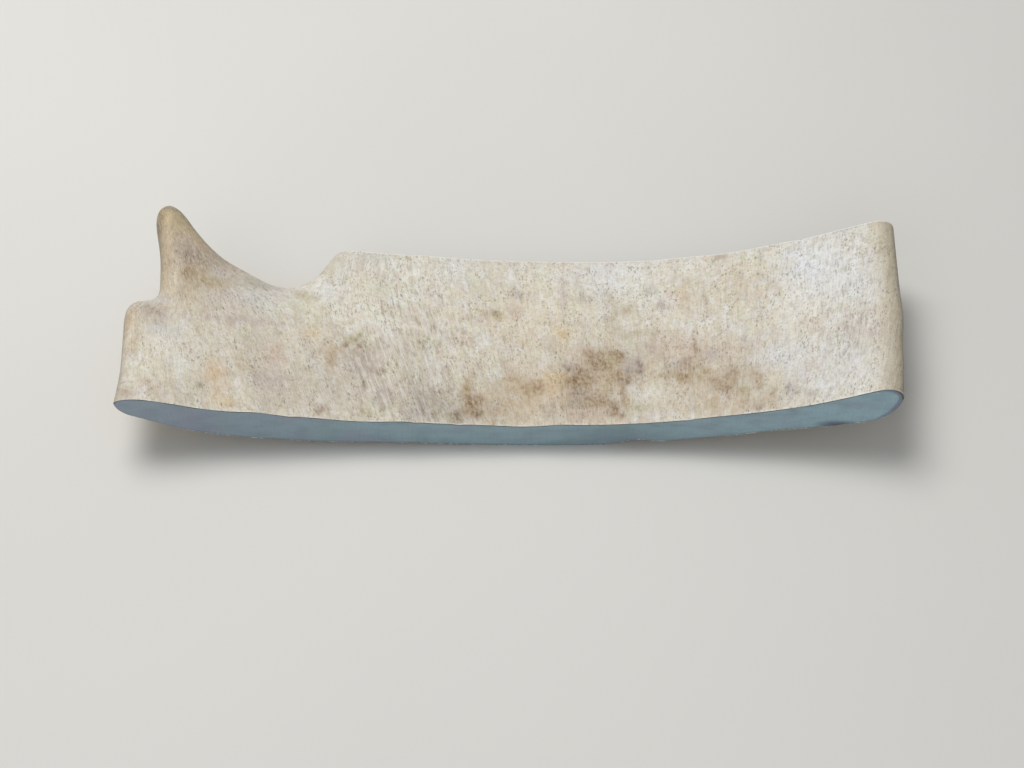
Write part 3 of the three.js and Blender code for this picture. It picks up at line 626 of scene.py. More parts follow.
def sheet_vertices(points, upper):
    """A face of the plate over points in plan: its vertices, and what its finish needs to know of them."""
    x, y = points.T
    top, bottom, rim = face_heights(x, y)
    edge = distance_to_edge(points)
    inward = np.minimum(edge / ((top - bottom) * RIM_ASPECT), 1)
    open_share = np.sqrt(1 - (1 - inward) ** 2)
    across = fibres_across(points)
    upper_wear, lower_wear = arris_wear(x, y)
    if upper:
        z = rim + (top - rim + upper_detail(x, y, across)) * open_share - upper_wear * open_share
    else:
        z = rim + (bottom - rim + lower_detail(x, y, across, bottom)) * open_share + lower_wear * open_share
    underside = 0.5 - 0.5 * open_share if upper else 0.5 + 0.5 * open_share
    values = {
        "fibre": np.column_stack([across, y, z]), "tone": upper_tone(x, y, across), "edge": edge,
        "underside": underside, "groove": np.zeros_like(x) if upper else relief_at(GROOVES, x, y),
        "top_gap": np.zeros_like(x) if upper else top - bottom,
    }
    return np.column_stack([x, y, z]), values


def antler_surface():
    surface = AntlerSurface()
    edges = np.vstack([left_edge, right_edge])
    edge_vertices, edge_values = sheet_vertices(edges, True)
    edge_ids = surface.add_vertices(edge_vertices, **edge_values)
    left_ids, right_ids = edge_ids[:len(left_edge)], edge_ids[len(left_edge):]
    borders = {}
    for upper, step in ((True, UPPER_STEP), (False, LOWER_STEP)):
        points = np.vstack([crown_line, root_line, plan_inside(step)])
        vertices, values = sheet_vertices(points, upper)
        ids = surface.add_vertices(vertices, **values)
        crown_ids, root_ids = ids[:len(crown_line)], ids[len(crown_line):len(crown_line) + len(root_line)]
        loop = np.concatenate([left_ids, crown_ids, right_ids, root_ids])
        plan = np.vstack([edges, points])
        plan_ids = np.concatenate([edge_ids, ids])
        local = {vertex: i for i, vertex in enumerate(plan_ids.tolist())}
        triangles = plan_ids[triangles_within(plan, [local[vertex] for vertex in loop.tolist()])]
        surface.add_triangles(triangles if upper else triangles[:, ::-1], GROWN_FACE)
        borders[upper] = {"root": root_ids[::-1], "crown": crown_ids}
    for cut, cut_y, ends in (
        ("root", 0, (left_ids[0], right_ids[-1])),
        ("crown", CUT_SPACING, (left_ids[-1], right_ids[0])),
    ):
        upper = np.concatenate([ends[:1], borders[True][cut], ends[1:]])
        add_sawn_face(surface, cut_y, upper, borders[False][cut][::-1])
    return surface, borders


def add_sawn_face(surface, cut_y, upper, lower):
    """A flat sawn face, inside a border of upper and lower vertices, clockwise as seen from the root side."""
    border = np.concatenate([upper, lower])
    outline = np.vstack(surface.vertices)[border][:, [0, 2]]
    closed = np.vstack([outline, outline[:1]])
    rows = []
    for points, depth, gap in inward_rows(resampled(closed, CUT_STEP), CUT_ROWS, CUT_ROW_WIDTH):
        rows.append((points[distance_to(points, closed) > ROW_CLEARANCE * depth], max(gap, LEAST_CUT_GAP)))
    ruled = thinned(rows)
    fill = lattice(outline.min(0), outline.max(0), CUT_STEP)
    fill = fill[distance_to(fill, closed) > CUT_ROW_WIDTH + 0.5 * CUT_STEP]
    inside = np.vstack([ruled, fill])
    inside = inside[is_inside(inside, outline)]
    x, z = inside.T
    vertices = np.column_stack([x, np.full(len(x), float(cut_y)), z])
    top_gap = distance_to(inside, outline[:len(upper)])
    ids = surface.add_vertices(vertices, cut_depth=distance_to(inside, closed), top_gap=top_gap)
    all_ids = np.concatenate([border, ids])
    triangles = all_ids[triangles_within(np.vstack([outline, inside]), list(range(len(outline))))]
    surface.add_triangles(triangles if cut_y == 0 else triangles[:, ::-1], SAWN_FACE)


class RowFrame:
    """Takes grown millimetres to the row's frame in metres, so that the antler fills its solid's box."""

    def __init__(self, vertices):
        low, high = (np.array(corner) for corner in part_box("antler"))
        self.scale = (high - low) / (vertices.max(0) - vertices.min(0))
        self.offset = low - vertices.min(0) * self.scale

    def place(self, points):
        return np.asarray(points, float) * self.scale + self.offset


surface, borders = antler_surface()
row_frame = RowFrame(np.vstack(surface.vertices))

# ---- Shader helpers -------------------------------------------------------------------------------------


def add(tree, kind, sockets=None, **settings):
    """Adds a node. Each socket takes another node's output, or a plain value."""
    node = tree.nodes.new(kind)
    for name, value in settings.items():
        setattr(node, name, value)
    for key, value in (sockets or {}).items():
        if isinstance(value, bpy.types.NodeSocket):
            tree.links.new(value, node.inputs[key])
        else:
            node.inputs[key].default_value = value
    return node


def vector_maths(tree, operation, first, second=(0, 0, 0)):
    return add(tree, "ShaderNodeVectorMath", {0: first, 1: second}, operation=operation).outputs


def maths(tree, operation, first, second=0.0):
    return add(tree, "ShaderNodeMath", {0: first, 1: second}, operation=operation).outputs[0]


def ramp(tree, value, low, high, to_low=0.0, to_high=1.0):
    """Smooth step of a value from low to high."""
    sockets = {"Value": value, "From Min": low, "From Max": high, "To Min": to_low, "To Max": to_high}
    return add(tree, "ShaderNodeMapRange", sockets, interpolation_type="SMOOTHSTEP").outputs["Result"]


def blend(tree, share, below, above, mode="MIX"):
    """Lays one colour over another."""
    sockets = {"Factor": share, 6: below, 7: above}
    return add(tree, "ShaderNodeMix", sockets, data_type="RGBA", blend_type=mode).outputs[2]


def new_group(name, inputs, outputs):
    """A shader node group with named sockets, and its input and output nodes."""
    tree = bpy.data.node_groups.new(name, "ShaderNodeTree")
    for socket, kind, value in inputs:
        made = tree.interface.new_socket(socket, in_out="INPUT", socket_type=kind)
        if value is not None:
            made.default_value = value
    for socket, kind in outputs:
        tree.interface.new_socket(socket, in_out="OUTPUT", socket_type=kind)
    return tree, tree.nodes.new("NodeGroupInput").outputs, tree.nodes.new("NodeGroupOutput").inputs


def use(tree, group, output, **sockets):
    """Places a node group and gives one of its outputs. A socket's name has _ for its spaces."""
    named = {name.replace("_", " "): value for name, value in sockets.items()}
    return add(tree, "ShaderNodeGroup", named, node_tree=group).outputs[output]


FLOAT, VECTOR = "NodeSocketFloat", "NodeSocketVector"


def grain_group():
    """Soft noise, drawn out along the fibres, cut to a mask between two levels."""
    tree, given, made = new_group(
        "grain",
        [("Position", VECTOR, None), ("Size", VECTOR, (1, 1, 1)), ("Detail", FLOAT, 2),
         ("Low", FLOAT, 0.4), ("High", FLOAT, 0.6)],
        [("Mask", FLOAT)],
    )
    scaled = vector_maths(tree, "DIVIDE", given["Position"], given["Size"])[0]
    sockets = {"Vector": scaled, "Detail": given["Detail"], "Scale": 1}
    cloud = add(tree, "ShaderNodeTexNoise", sockets)
    tree.links.new(ramp(tree, cloud.outputs["Fac"], given["Low"], given["High"]), made["Mask"])
    return tree


def pore_group():
    """Scattered pores: one in some of the cells of a drawn-out grid."""
    tree, given, made = new_group(
        "pores",
        [("Position", VECTOR, None), ("Size", VECTOR, (1, 1, 1)),
         ("Share", FLOAT, 0.3), ("Radius", FLOAT, 0.3)],
        [("Mask", FLOAT)],
    )
    scaled = vector_maths(tree, "DIVIDE", given["Position"], given["Size"])[0]
    cells = add(tree, "ShaderNodeTexVoronoi", {"Vector": scaled, "Scale": 1, "Randomness": 1})
    chance = add(tree, "ShaderNodeSeparateColor", {"Color": cells.outputs["Color"]})
    radius = maths(tree, "MULTIPLY", given["Radius"], maths(tree, "ADD", chance.outputs["Green"], 0.5))
    dot = ramp(tree, cells.outputs["Distance"], maths(tree, "MULTIPLY", radius, 0.4), radius, 1, 0)
    chosen = maths(tree, "LESS_THAN", chance.outputs["Red"], given["Share"])
    tree.links.new(maths(tree, "MULTIPLY", dot, chosen), made["Mask"])
    return tree


def stain_group():
    """A soft oval patch with a ragged edge."""
    tree, given, made = new_group(
        "stain",
        [("Position", VECTOR, None), ("Centre", VECTOR, (0, 0, 0)), ("Reach", VECTOR, (1, 1, 1)),
         ("Raggedness", FLOAT, 0.0), ("Strength", FLOAT, 1.0)],
        [("Mask", FLOAT)],
    )
    from_centre = vector_maths(tree, "SUBTRACT", given["Position"], given["Centre"])[0]
    scaled = vector_maths(tree, "DIVIDE", from_centre, given["Reach"])[0]
    away = vector_maths(tree, "LENGTH", scaled)["Value"]
    ragged = maths(tree, "ADD", away, given["Raggedness"])
    patch = maths(tree, "MULTIPLY", ramp(tree, ragged, 0.15, 1.15, 1, 0), given["Strength"])
    tree.links.new(patch, made["Mask"])
    return tree


grain, pores, stain = grain_group(), pore_group(), stain_group()


def new_material(name):
    material = bpy.data.materials.new(name)
    material.use_nodes = True
    tree = material.node_tree
    return material, tree, tree.nodes["Principled BSDF"]


def attribute(tree, name, output="Fac"):
    return add(tree, "ShaderNodeAttribute", attribute_name=name).outputs[output]


def grown_position(tree):
    """Object coordinates turned back into grown millimetres."""
    place = add(tree, "ShaderNodeTexCoord").outputs["Object"]
    from_corner = vector_maths(tree, "SUBTRACT", place, tuple(row_frame.offset))[0]
    return vector_maths(tree, "DIVIDE", from_corner, tuple(row_frame.scale))[0]


def noise_masks(tree, position, table):
    """Masks of soft noise, by name."""
    return SimpleNamespace(**{
        name: use(tree, grain, "Mask", Position=position, Size=size, Detail=detail, Low=low, High=high)
        for name, (size, detail, low, high) in table.items()
    })


def lay(tree, mask, share, below, above, mode="MIX"):
    """Lays one colour over another where a mask is, at a share of its strength."""
    return blend(tree, maths(tree, "MULTIPLY", mask, share), below, above, mode)


def finish_bump(tree, shader, height, strength, distance):
    """Bump from a height, over a distance in millimetres."""
    sockets = {"Strength": strength, "Distance": distance * MM, "Height": height}
    tree.links.new(add(tree, "ShaderNodeBump", sockets).outputs["Normal"], shader.inputs["Normal"])


# ---- Materials ------------------------------------------------------------------------------------------

UNDER_LIGHT, UNDER_DARK, GROOVE_BROWN = colour("cbbc9f"), colour("b3a080"), colour("745a3e")
MOTTLE_TINT, GRAIN_TINT, STREAK_TINT = colour("d8cfc0"), colour("d2cac0"), colour("c4bcae")
STAIN_GAP, STAIN_CORE, DASH_GREY = colour("cfbf9e"), colour("674b30"), colour("7b7876")
BLEACHED_AND_HIGHLIGHT, FRECKLE_BROWN, PORE = colour("ebe8e0"), colour("7f7260"), colour("574d41")
RIM_TAN, RIM_PAINTED_SHADE = colour("bfb39a"), colour("837d6b")

# Noise masks of the grown bone: size across, along and through the fibres, detail, and the levels of the cut.
GROWN_MASKS = {
    "clouds": ((13, 19, 13), 3, 0.36, 0.64),
    "mottle": ((1.5, 2.3, 1.5), 3, 0.38, 0.66),
    "specks": ((0.6, 0.85, 0.6), 2, 0.42, 0.68),
    "light_lines": ((0.5, 9, 0.5), 1, 0.52, 0.72),
    "dark_lines": ((0.6, 6, 0.6), 1, 0.55, 0.75),
    "gathered": ((5, 9, 5), 2, 0.42, 0.6),
    "freckles": ((0.8, 1.5, 0.8), 2, 0.57, 0.7),
    "ridges": ((0.95, 12, 0.95), 2, 0.5, 0.7),
    "dashes": ((0.75, 4.5, 0.75), 1, 0.56, 0.72),
    "crumbled": ((0.9, 1.5, 0.9), 3, 0.35, 0.65),
}
LARGE_PORES, LARGE_PORE_SHADE = {"Size": (1.0, 2.7, 1.0), "Share": 0.32, "Radius": 0.26}, 0.55
SMALL_PORES, SMALL_PORE_SHADE = {"Size": (0.55, 1.5, 0.55), "Share": 0.6, "Radius": 0.36}, 0.4
LEFT_STREAKS = {"Centre": (-34, 36, 14), "Reach": (34, 60, 40), "Strength": 1.0}
RIGHT_STREAKS = {"Centre": (112, 45, 26), "Reach": (24, 60, 40), "Strength": 0.8}
STAINED_LEVEL, CLEAN_LEVEL = 0.25, 0.5  # brightness of stained and of clean bone
RIGHT_END_X, RIGHT_BAND = (96, 116), (3, 12)  # where the right end's tan band sets in, and how wide it is
BARE_AND_HIGHLIGHT_X, BARE_AND_HIGHLIGHT_Y = (-62, -58), (74.3, 74.9)  # where the crown-side arris is painted pale: bone rubbed to its fresh colour, and a painted highlight
WORN_AND_HIGHLIGHT_Y = (0.1, 0.7)  # where the root-side arris is painted paler: partly wear, partly a painted highlight


def pore_mask(tree, fibre, gathered):
    """Pores of two sizes: thick where a cloud of them gathers, and sparse elsewhere."""
    large = use(tree, pores, "Mask", Position=fibre, **LARGE_PORES)
    small = use(tree, pores, "Mask", Position=fibre, **SMALL_PORES)
    large, small = (
        maths(tree, "MULTIPLY", mask, shade)
        for mask, shade in ((large, LARGE_PORE_SHADE), (small, SMALL_PORE_SHADE))
    )
    return maths(tree, "MULTIPLY", maths(tree, "MAXIMUM", large, small), ramp(tree, gathered, 0, 1, 0.35, 1))


def upper_shade(tree, at, edge, streaked, fine):
    """Colour of the upper face: its tone with the stains broken up, then grain, streaks and freckles, painted
    shade along the rim, and pale arris lines that are partly a painted highlight.
    """
    tone = attribute(tree, "tone", "Vector")
    brightness = add(tree, "ShaderNodeRGBToBW", {"Color": tone}).outputs[0]
    stained = ramp(tree, brightness, STAINED_LEVEL, CLEAN_LEVEL, 1, 0)
    shade = lay(tree, stained, ramp(tree, fine.crumbled, 0, 1, 0, 0.34), tone, STAIN_GAP)
    shade = lay(tree, stained, ramp(tree, fine.crumbled, 0, 1, 0.34, 0), shade, STAIN_CORE)
    right_end = ramp(tree, at["X"], *RIGHT_END_X)
    inner = maths(tree, "ADD", edge, maths(tree, "MULTIPLY", fine.mottle, 1.6))
    shade = lay(tree, right_end, ramp(tree, inner, *RIGHT_BAND, 0.8, 0), shade, RIM_TAN)
    shade = lay(tree, fine.mottle, 0.3, shade, MOTTLE_TINT, "MULTIPLY")
    shade = lay(tree, fine.specks, 0.34, shade, GRAIN_TINT, "MULTIPLY")
    shade = lay(tree, fine.dark_lines, 0.3, shade, STREAK_TINT, "MULTIPLY")
    shade = lay(tree, fine.light_lines, 0.12, shade, BLEACHED_AND_HIGHLIGHT)
    shade = lay(tree, fine.ridges, ramp(tree, streaked, 0, 1, 0.06, 0.3), shade, BLEACHED_AND_HIGHLIGHT)
    dash_tint = blend(tree, right_end, FRECKLE_BROWN, DASH_GREY)
    shade = lay(tree, fine.dashes, ramp(tree, streaked, 0, 1, 0.06, 0.4), shade, dash_tint)
    shade = lay(tree, fine.freckles, ramp(tree, fine.gathered, 0, 1, 0.12, 0.5), shade, dash_tint)
    # painted shade: the bone darkens over its last 2.2 mm to the natural edge, where the rounded rim turns
    # away from the light
    shade = blend(tree, ramp(tree, edge, 0.0, 2.2, 0.45, 0), shade, RIM_PAINTED_SHADE)
    # pale lines along both arrises: partly bone rubbed to its fresh colour, partly a painted highlight on the
    # edge
    bare_and_highlight = maths(tree, "MULTIPLY", ramp(tree, at["Y"], *BARE_AND_HIGHLIGHT_Y, 0, 0.8), ramp(tree, at["X"], *BARE_AND_HIGHLIGHT_X))
    worn = maths(tree, "MULTIPLY", ramp(tree, at["Y"], *WORN_AND_HIGHLIGHT_Y, 0.4, 0), fine.gathered)
    return blend(tree, maths(tree, "ADD", bare_and_highlight, worn), shade, BLEACHED_AND_HIGHLIGHT)


def under_shade(tree, fine):
    """Colour of the lower face: browner, and darkest in the vessel grooves."""
    shade = blend(tree, fine.clouds, UNDER_LIGHT, UNDER_DARK)
    shade = lay(tree, fine.mottle, 0.22, shade, GROOVE_BROWN)
    shade = lay(tree, fine.freckles, 0.35, shade, GROOVE_BROWN)
    worn_in = maths(tree, "SUBTRACT", attribute(tree, "groove"), maths(tree, "MULTIPLY", fine.specks, 0.3))
    shade = blend(tree, ramp(tree, worn_in, 0.1, 1.7, 0, 0.75), shade, GROOVE_BROWN)
    return lay(tree, fine.dark_lines, 0.5, shade, GROOVE_BROWN)


def grown_bone():
    """Weathered outer bone: cream and tan, stained, with fibres, flecks and pores, and browner underneath."""
    material, tree, shader = new_material("grown_bone")
    fibre, edge = attribute(tree, "fibre", "Vector"), attribute(tree, "edge")
    place = grown_position(tree)
    at = add(tree, "ShaderNodeSeparateXYZ", {0: place}).outputs
    fine = noise_masks(tree, fibre, GROWN_MASKS)
    streaks = (use(tree, stain, "Mask", Position=place, **area) for area in (LEFT_STREAKS, RIGHT_STREAKS))
    streaked = maths(tree, "MAXIMUM", *streaks)

    underside = ramp(tree, attribute(tree, "underside"), 0.45, 0.85)
    upper = upper_shade(tree, at, edge, streaked, fine)
    shade = blend(tree, underside, upper, under_shade(tree, fine))
    pored = pore_mask(tree, fibre, fine.gathered)
    tree.links.new(blend(tree, pored, shade, PORE), shader.inputs["Base Color"])

    tree.links.new(ramp(tree, fine.mottle, 0, 1, 0.5, 0.68), shader.inputs["Roughness"])
    shader.inputs["Specular IOR Level"].default_value = 0.35
    hollows = maths(tree, "MULTIPLY", pored, 0.8)
    height = maths(tree, "SUBTRACT", maths(tree, "MULTIPLY", fine.dark_lines, -0.4), hollows)
    height = maths(tree, "ADD", height, maths(tree, "MULTIPLY", fine.light_lines, 0.3))
    finish_bump(tree, shader, height, 0.8, 0.1)
    return material


# The sawn face's greys are darker and bluer than the cut core's own colour: partly its own grey, partly
# painted cool shade, as on a face turned from the key light.
SAWN_BLUE, SAWN_TEAL, SAWN_PALE = colour("8f9ba7"), colour("90a8af"), colour("9ab6c0")
SAWN_DARK, SAWN_LILAC, SAWN_GREEN = colour("6b7c85"), colour("9093a3"), colour("869b9c")
ARRIS_LINE, RIM_RING, RIM_EDGE, DARK_LENS = colour("544b46"), colour("72788c"), colour("a9a8ba"), colour("4e5269")

SAWN_MASKS = {  # as for the grown bone, but with sizes along X, Y and Z
    "lilac": ((19, 19, 6), 2, 0.45, 0.65),
    "green": ((11, 11, 5), 2, 0.48, 0.68),
    "haze": ((8, 8, 3), 4, 0.4, 0.7),
    "specks": ((0.7, 0.7, 0.6), 2, 0.4, 0.7),
    "marks": ((0.5, 0.5, 9), 1, 0.4, 0.7),
    "broken": ((5, 5, 5), 3, 0.35, 0.6),
}
SAWN_HOLES = {"Size": (0.8, 0.8, 0.7), "Share": 0.3, "Radius": 0.3}
SMUDGE = {"Centre": (34, 0, 5), "Reach": (20, 8, 8), "Strength": 0.4}
# a dark lens on the root-side cut, just above the notch in its lower edge
DARK_LENS_AT = {"Centre": (105.5, 0, 11), "Reach": (9.5, 8, 2.6), "Strength": 1.0}
SAWN_RIGHT_X, RING_WIDTH = (110, 124), 1.7  # where the right end's ring sets in, and how wide it grows
RING_TIP_X = (124, 127.5)  # where its pale edge sets in
LINE_REACH, LINE_WIDENING, LINE_END_X = (0.18, 0.6), 0.25, (126, 130)  # dark line under the upper arris
LOW_EDGE_X = (112, 122)  # where the dark line above the lower arris fades out


def sawn_clouds(tree, x, place, fine, holes):
    """Cool greys of the sawn core, partly its own grey and partly painted cool shade: bluer at the left,
    paler at the right, with clouds, marks and holes.
    """
    shade = blend(tree, ramp(tree, x, -110, -30), SAWN_BLUE, SAWN_TEAL)
    shade = blend(tree, ramp(tree, x, 30, 115), shade, SAWN_PALE)
    shade = lay(tree, fine.green, 0.55, shade, SAWN_GREEN)
    shade = lay(tree, fine.lilac, ramp(tree, x, -90, 20, 0.7, 0.35), shade, SAWN_LILAC)
    shade = lay(tree, fine.haze, 0.2, shade, SAWN_DARK)
    shade = blend(tree, use(tree, stain, "Mask", Position=place, **SMUDGE), shade, SAWN_DARK)
    for mask, share in ((fine.marks, 0.1), (fine.specks, 0.14), (holes, 0.18)):
        shade = lay(tree, mask, share, shade, SAWN_DARK)
    return shade


def sawn_borders(tree, x, place, fine, shade):
    """Adds the right end's ring, the lines along both arrises and a dark lens near the right end of the lower
    edge to the sawn core's greys.
    """
    depth, top_gap = attribute(tree, "cut_depth"), attribute(tree, "top_gap")
    right_end = ramp(tree, x, *SAWN_RIGHT_X)
    ring = maths(tree, "SUBTRACT", depth, maths(tree, "MULTIPLY", right_end, RING_WIDTH))
    shade = lay(tree, right_end, ramp(tree, ring, -0.5, 0.4, 0.85, 0), shade, RIM_RING)
    tip = maths(tree, "MULTIPLY", ramp(tree, top_gap, 0.5, 1.5), ramp(tree, x, *RING_TIP_X))
    shade = lay(tree, tip, ramp(tree, depth, 0.4, 0.9, 0.75, 0), shade, RIM_EDGE)
    low_edge = maths(tree, "MULTIPLY", ramp(tree, depth, 0.2, 0.7, 0.4, 0), ramp(tree, top_gap, 0.8, 1.6))
    shade = lay(tree, low_edge, ramp(tree, x, *LOW_EDGE_X, 1, 0), shade, SAWN_DARK)
    gap = maths(tree, "SUBTRACT", top_gap, maths(tree, "MULTIPLY", right_end, LINE_WIDENING))
    strength = ramp(tree, fine.broken, 0, 1, 0.45, 0.9)
    line = maths(tree, "MULTIPLY", strength, ramp(tree, gap, *LINE_REACH, 1, 0))
    shade = lay(tree, line, ramp(tree, x, *LINE_END_X, 1, 0), shade, ARRIS_LINE)
    ragged = maths(tree, "MULTIPLY", fine.haze, 0.3)
    return blend(tree, use(tree, stain, "Mask", Position=place, Raggedness=ragged, **DARK_LENS_AT), shade, DARK_LENS)


def sawn_core():
    """The sawn inside of the bone: smooth, its grey darkened and cooled by painted shade, with a dark line
    under its upper arris.
    """
    material, tree, shader = new_material("sawn_core")
    place = grown_position(tree)
    x = add(tree, "ShaderNodeSeparateXYZ", {0: place}).outputs["X"]
    fine = noise_masks(tree, place, SAWN_MASKS)
    holes = use(tree, pores, "Mask", Position=place, **SAWN_HOLES)
    shade = sawn_borders(tree, x, place, fine, sawn_clouds(tree, x, place, fine, holes))
    tree.links.new(shade, shader.inputs["Base Color"])
    tree.links.new(ramp(tree, fine.haze, 0, 1, 0.42, 0.56), shader.inputs["Roughness"])
    shader.inputs["Specular IOR Level"].default_value = 0.4
    finish_bump(tree, shader, maths(tree, "ADD", fine.marks, maths(tree, "MULTIPLY", holes, -1)), 0.5, 0.04)
    return material


def burr_bone():
    """Pale threads of bone that the saw raised."""
    material, tree, shader = new_material("saw_burr")
    place = grown_position(tree)
    tone = use(tree, grain, "Mask", Position=place, Size=(0.9, 0.9, 0.9), Detail=2, Low=0.45, High=0.65)
    tree.links.new(blend(tree, tone, colour("8b959c"), colour("e4e8e6")), shader.inputs["Base Color"])
    shader.inputs["Roughness"].default_value = 0.8
    return material


def pale_floor():
    material, tree, shader = new_material("floor_paper")
    place = add(tree, "ShaderNodeTexCoord").outputs["Object"]
    tone = use(tree, grain, "Mask", Position=place, Size=(0.3, 0.3, 0.3), Detail=2, Low=0.3, High=0.7)
    tree.links.new(blend(tree, tone, colour("d2d0cb"), colour("d6d4cf")), shader.inputs["Base Color"])
    shader.inputs["Roughness"].default_value = 0.9
    return material


# ---- Pieces ---------------------------------------------------------------------------------------------


def mesh_object(name, vertices, edges, faces, materials):
    mesh = bpy.data.meshes.new(name)
    mesh.from_pydata(vertices.tolist(), edges, faces)
    for material in materials:
        mesh.materials.append(material)
    made = bpy.data.objects.new(name, mesh)
    bpy.context.scene.collection.objects.link(made)
    return made


SHARP_ANGLE = 38  # degrees between faces, above which the edge between them stays sharp


def build_antler():
    """The whole antler as one closed mesh."""
    vertices = row_frame.place(np.vstack(surface.vertices))
    triangles = np.vstack(surface.triangles)
    antler = mesh_object("antler_bone", vertices, [], triangles.tolist(), [grown_bone(), sawn_core()])
    mesh = antler.data
    mesh.polygons.foreach_set("material_index", np.concatenate(surface.finishes).astype(np.int32))
    for name, kept in surface.values.items():
        values = np.vstack(kept).astype(np.float32)
        kind, field = ("FLOAT_VECTOR", "vector") if name in TRIPLE_VALUES else ("FLOAT", "value")
        mesh.attributes.new(name, kind, "POINT").data.foreach_set(field, values.ravel())
    mesh.shade_smooth()
    mesh.set_sharp_from_angle(angle=math.radians(SHARP_ANGLE))
    mesh.update()
    return antler


def random_value(tree, kind, low, high, seed):
    return add(tree, "FunctionNodeRandomValue", {0: low, 1: high, 8: seed}, data_type=kind).outputs[0]


def burr_spots(tree, given):
    """Scattered points along an edge."""
    curve = add(tree, "GeometryNodeMeshToCurve", {"Mesh": given["Geometry"]}).outputs[0]
    even = add(tree, "GeometryNodeResampleCurve", {"Curve": curve, "Length": given["Spacing"]}, mode="LENGTH")
    spots = add(tree, "GeometryNodeCurveToPoints", {"Curve": even.outputs[0]}, mode="EVALUATED").outputs[0]
    scatter = random_value(tree, "FLOAT_VECTOR", (-1, -1, -1), (1, 1, 1), 5)
    offset = add(tree, "ShaderNodeVectorMath", {0: scatter, "Scale": given["Scatter"]}, operation="SCALE")
    return add(tree, "GeometryNodeSetPosition", {"Geometry": spots, "Offset": offset.outputs[0]}).outputs[0]


def burr_patches(tree, given):
    """Which of the points carry a thread: a share of those that lie in a patch."""
    chance = {"Probability": given["Share"], "Seed": 3}
    chosen = add(tree, "FunctionNodeRandomValue", chance, data_type="BOOLEAN").outputs[3]
    rate = maths(tree, "DIVIDE", 1.0, given["Patch Reach"])
    place = add(tree, "GeometryNodeInputPosition").outputs[0]
    patches = add(tree, "ShaderNodeTexNoise", {"Vector": place, "Scale": rate, "Detail": 2.0}).outputs[0]
    patchy = add(tree, "FunctionNodeCompare", {0: patches, 1: BURR_GAP}, operation="GREATER_THAN").outputs[0]
    return add(tree, "FunctionNodeBooleanMath", {0: chosen, 1: patchy}, operation="AND").outputs[0]


def burr_tree(material):
    """Hangs short threads along an edge, in patches, leaning either way."""
    tree = bpy.data.node_groups.new("burr_along_edge", "GeometryNodeTree")
    tree.interface.new_socket("Geometry", in_out="INPUT", socket_type="NodeSocketGeometry")
    for name in ("Spacing", "Thread Radius", "Share", "Scatter", "Patch Reach"):
        tree.interface.new_socket(name, in_out="INPUT", socket_type=FLOAT)
    tree.interface.new_socket("Geometry", in_out="OUTPUT", socket_type="NodeSocketGeometry")
    given = tree.nodes.new("NodeGroupInput").outputs
    made = tree.nodes.new("NodeGroupOutput").inputs

    sphere = {"Radius": given["Thread Radius"], "Subdivisions": 1}
    placed = add(tree, "GeometryNodeInstanceOnPoints", {
        "Points": burr_spots(tree, given), "Selection": burr_patches(tree, given),
        "Instance": add(tree, "GeometryNodeMeshIcoSphere", sphere).outputs[0],
        "Rotation": random_value(tree, "FLOAT_VECTOR", (-0.1, -BURR_LEAN, 0), (0.1, BURR_LEAN, 0), 11),
        "Scale": random_value(tree, "FLOAT_VECTOR", *THREAD_STRETCH, 17),
    }).outputs[0]
    real = add(tree, "GeometryNodeRealizeInstances", {"Geometry": placed}).outputs[0]
    finished = add(tree, "GeometryNodeSetMaterial", {"Geometry": real, "Material": material}).outputs[0]
    tree.links.new(finished, made["Geometry"])
    return tree


def burr_guide():
    """Lines that the burr hangs from, under the lower edges of both saw cuts."""
    all_vertices = np.vstack(surface.vertices)
    lines, edges = [], []
    for cut, inward in (("root", 1), ("crown", -1)):
        line = all_vertices[borders[False][cut]]
        line = line[(line[:, 0] > BURR_SPAN[0]) & (line[:, 0] < BURR_SPAN[1])]
        first = sum(len(done) for done in lines)
        edges += [(i, i + 1) for i in range(first, first + len(line) - 1)]
        lines.append(line + [0, inward * BURR_INSET, -BURR_DROP])
    return mesh_object("burr_guide", row_frame.place(np.vstack(lines)), edges, [], [])


def keep_in_box(mesh):
    """Holds a mesh within the solid's box, and within the plane of its crown cut."""
    vertices = np.empty(len(mesh.vertices) * 3, np.float32)
    mesh.vertices.foreach_get("co", vertices)
    low, high = (np.array(corner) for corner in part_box("antler"))
    high[1] = row_frame.place([0, CUT_SPACING, 0])[1]
    kept = np.clip(vertices.reshape(-1, 3), low, high)
    mesh.vertices.foreach_set("co", kept.astype(np.float32).ravel())
    mesh.update()


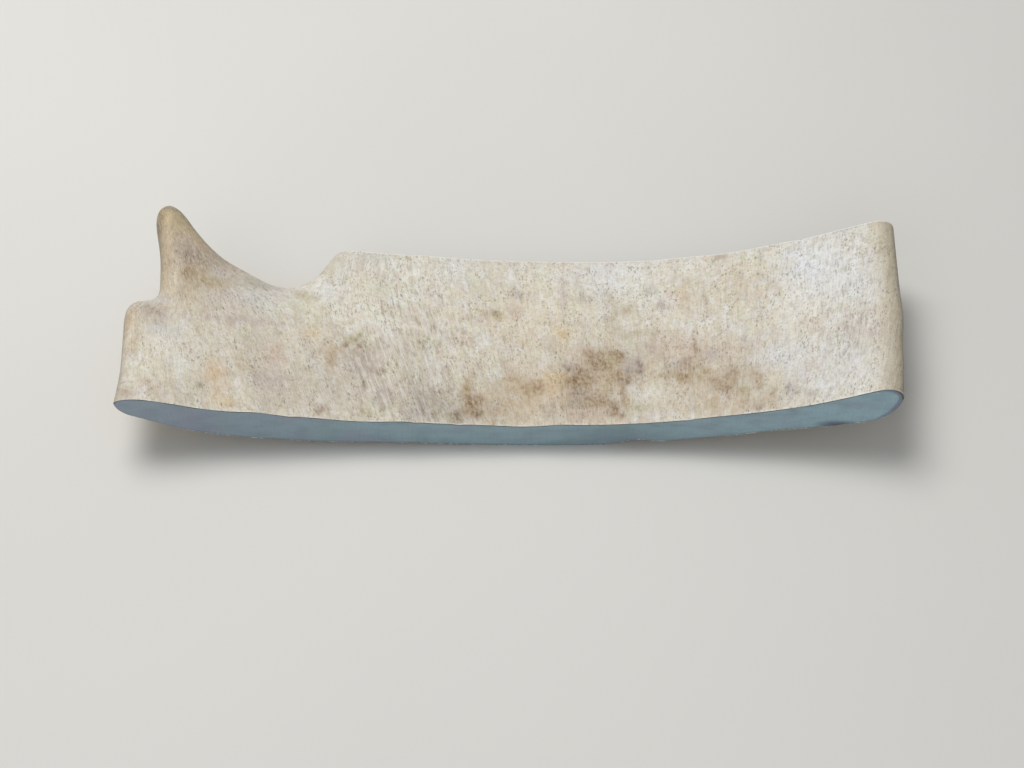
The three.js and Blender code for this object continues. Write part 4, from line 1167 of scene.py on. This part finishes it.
def build_burr():
    """Burr along the lower edges of both saw cuts."""
    guide = burr_guide()
    modifier = guide.modifiers.new("burr", "NODES")
    modifier.node_group = burr_tree(burr_bone())
    sizes = {
        "Spacing": BURR_SPACING * MM, "Thread Radius": BURR_THREAD * MM, "Share": BURR_SHARE,
        "Scatter": 0.5 * BURR_THREAD * MM, "Patch Reach": BURR_PATCH * MM,
    }
    for item in modifier.node_group.interface.items_tree:
        if item.name in sizes:
            modifier[item.identifier] = sizes[item.name]
    evaluated = guide.evaluated_get(bpy.context.evaluated_depsgraph_get())
    mesh = bpy.data.meshes.new_from_object(evaluated)
    mesh.name = "saw_burr"
    burr = bpy.data.objects.new("saw_burr", mesh)
    bpy.context.scene.collection.objects.link(burr)
    bpy.data.objects.remove(guide)
    keep_in_box(mesh)
    return burr


antler = build_antler()
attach(antler, "root")
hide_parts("antler")

burr = build_burr()
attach(burr, "root")

# ---- Floor, light and camera ----------------------------------------------------------------------------

FLOOR_HALF = 3.0  # metres
floor_corners = FLOOR_HALF * np.array([(-1, -1, 0), (1, -1, 0), (1, 1, 0), (-1, 1, 0)])
floor = mesh_object("floor", floor_corners, [], [(0, 1, 2, 3)], [pale_floor()])


def soft_light(name, location, size, watts, tint):
    """A square area light that faces the middle of the antler."""
    lamp = bpy.data.lights.new(name, "AREA")
    lamp.size, lamp.energy, lamp.color = size, watts, tint
    made = bpy.data.objects.new(name, lamp)
    made.location = location
    made.rotation_euler = (Vector((0, 0, 0.01)) - Vector(location)).to_track_quat("-Z", "Y").to_euler()
    bpy.context.scene.collection.objects.link(made)


soft_light("key_light", (-0.3, 0.35, 1.0), 0.6, 9.4, (1.0, 0.985, 0.96))
soft_light("fill_light", (-0.35, -1.0, 0.6), 1.0, 4, (0.95, 0.98, 1.0))

ROOM_LIGHT, ROOM_STRENGTH = colour("e6ebf0"), 0.35

scene = bpy.context.scene
scene.world = bpy.data.worlds.new("soft_room")
scene.world.use_nodes = True
room = scene.world.node_tree.nodes["Background"].inputs
room["Color"].default_value = ROOM_LIGHT
room["Strength"].default_value = ROOM_STRENGTH
scene.view_settings.view_transform = "Standard"

CAMERA_AT = (-0.00173, -0.32451, 0.36908)
CAMERA_ELEVATION = 50  # degrees above the horizon
CAMERA_WIDTH_ANGLE = 40  # degrees that the picture is wide

camera = bpy.data.objects.new("camera", bpy.data.cameras.new("camera"))
camera.data.sensor_fit = "HORIZONTAL"
camera.data.angle = math.radians(CAMERA_WIDTH_ANGLE)
camera.data.clip_start = 0.01
camera.location = CAMERA_AT
camera.rotation_euler = (math.radians(90 - CAMERA_ELEVATION), 0, 0)
scene.collection.objects.link(camera)
scene.camera = camera
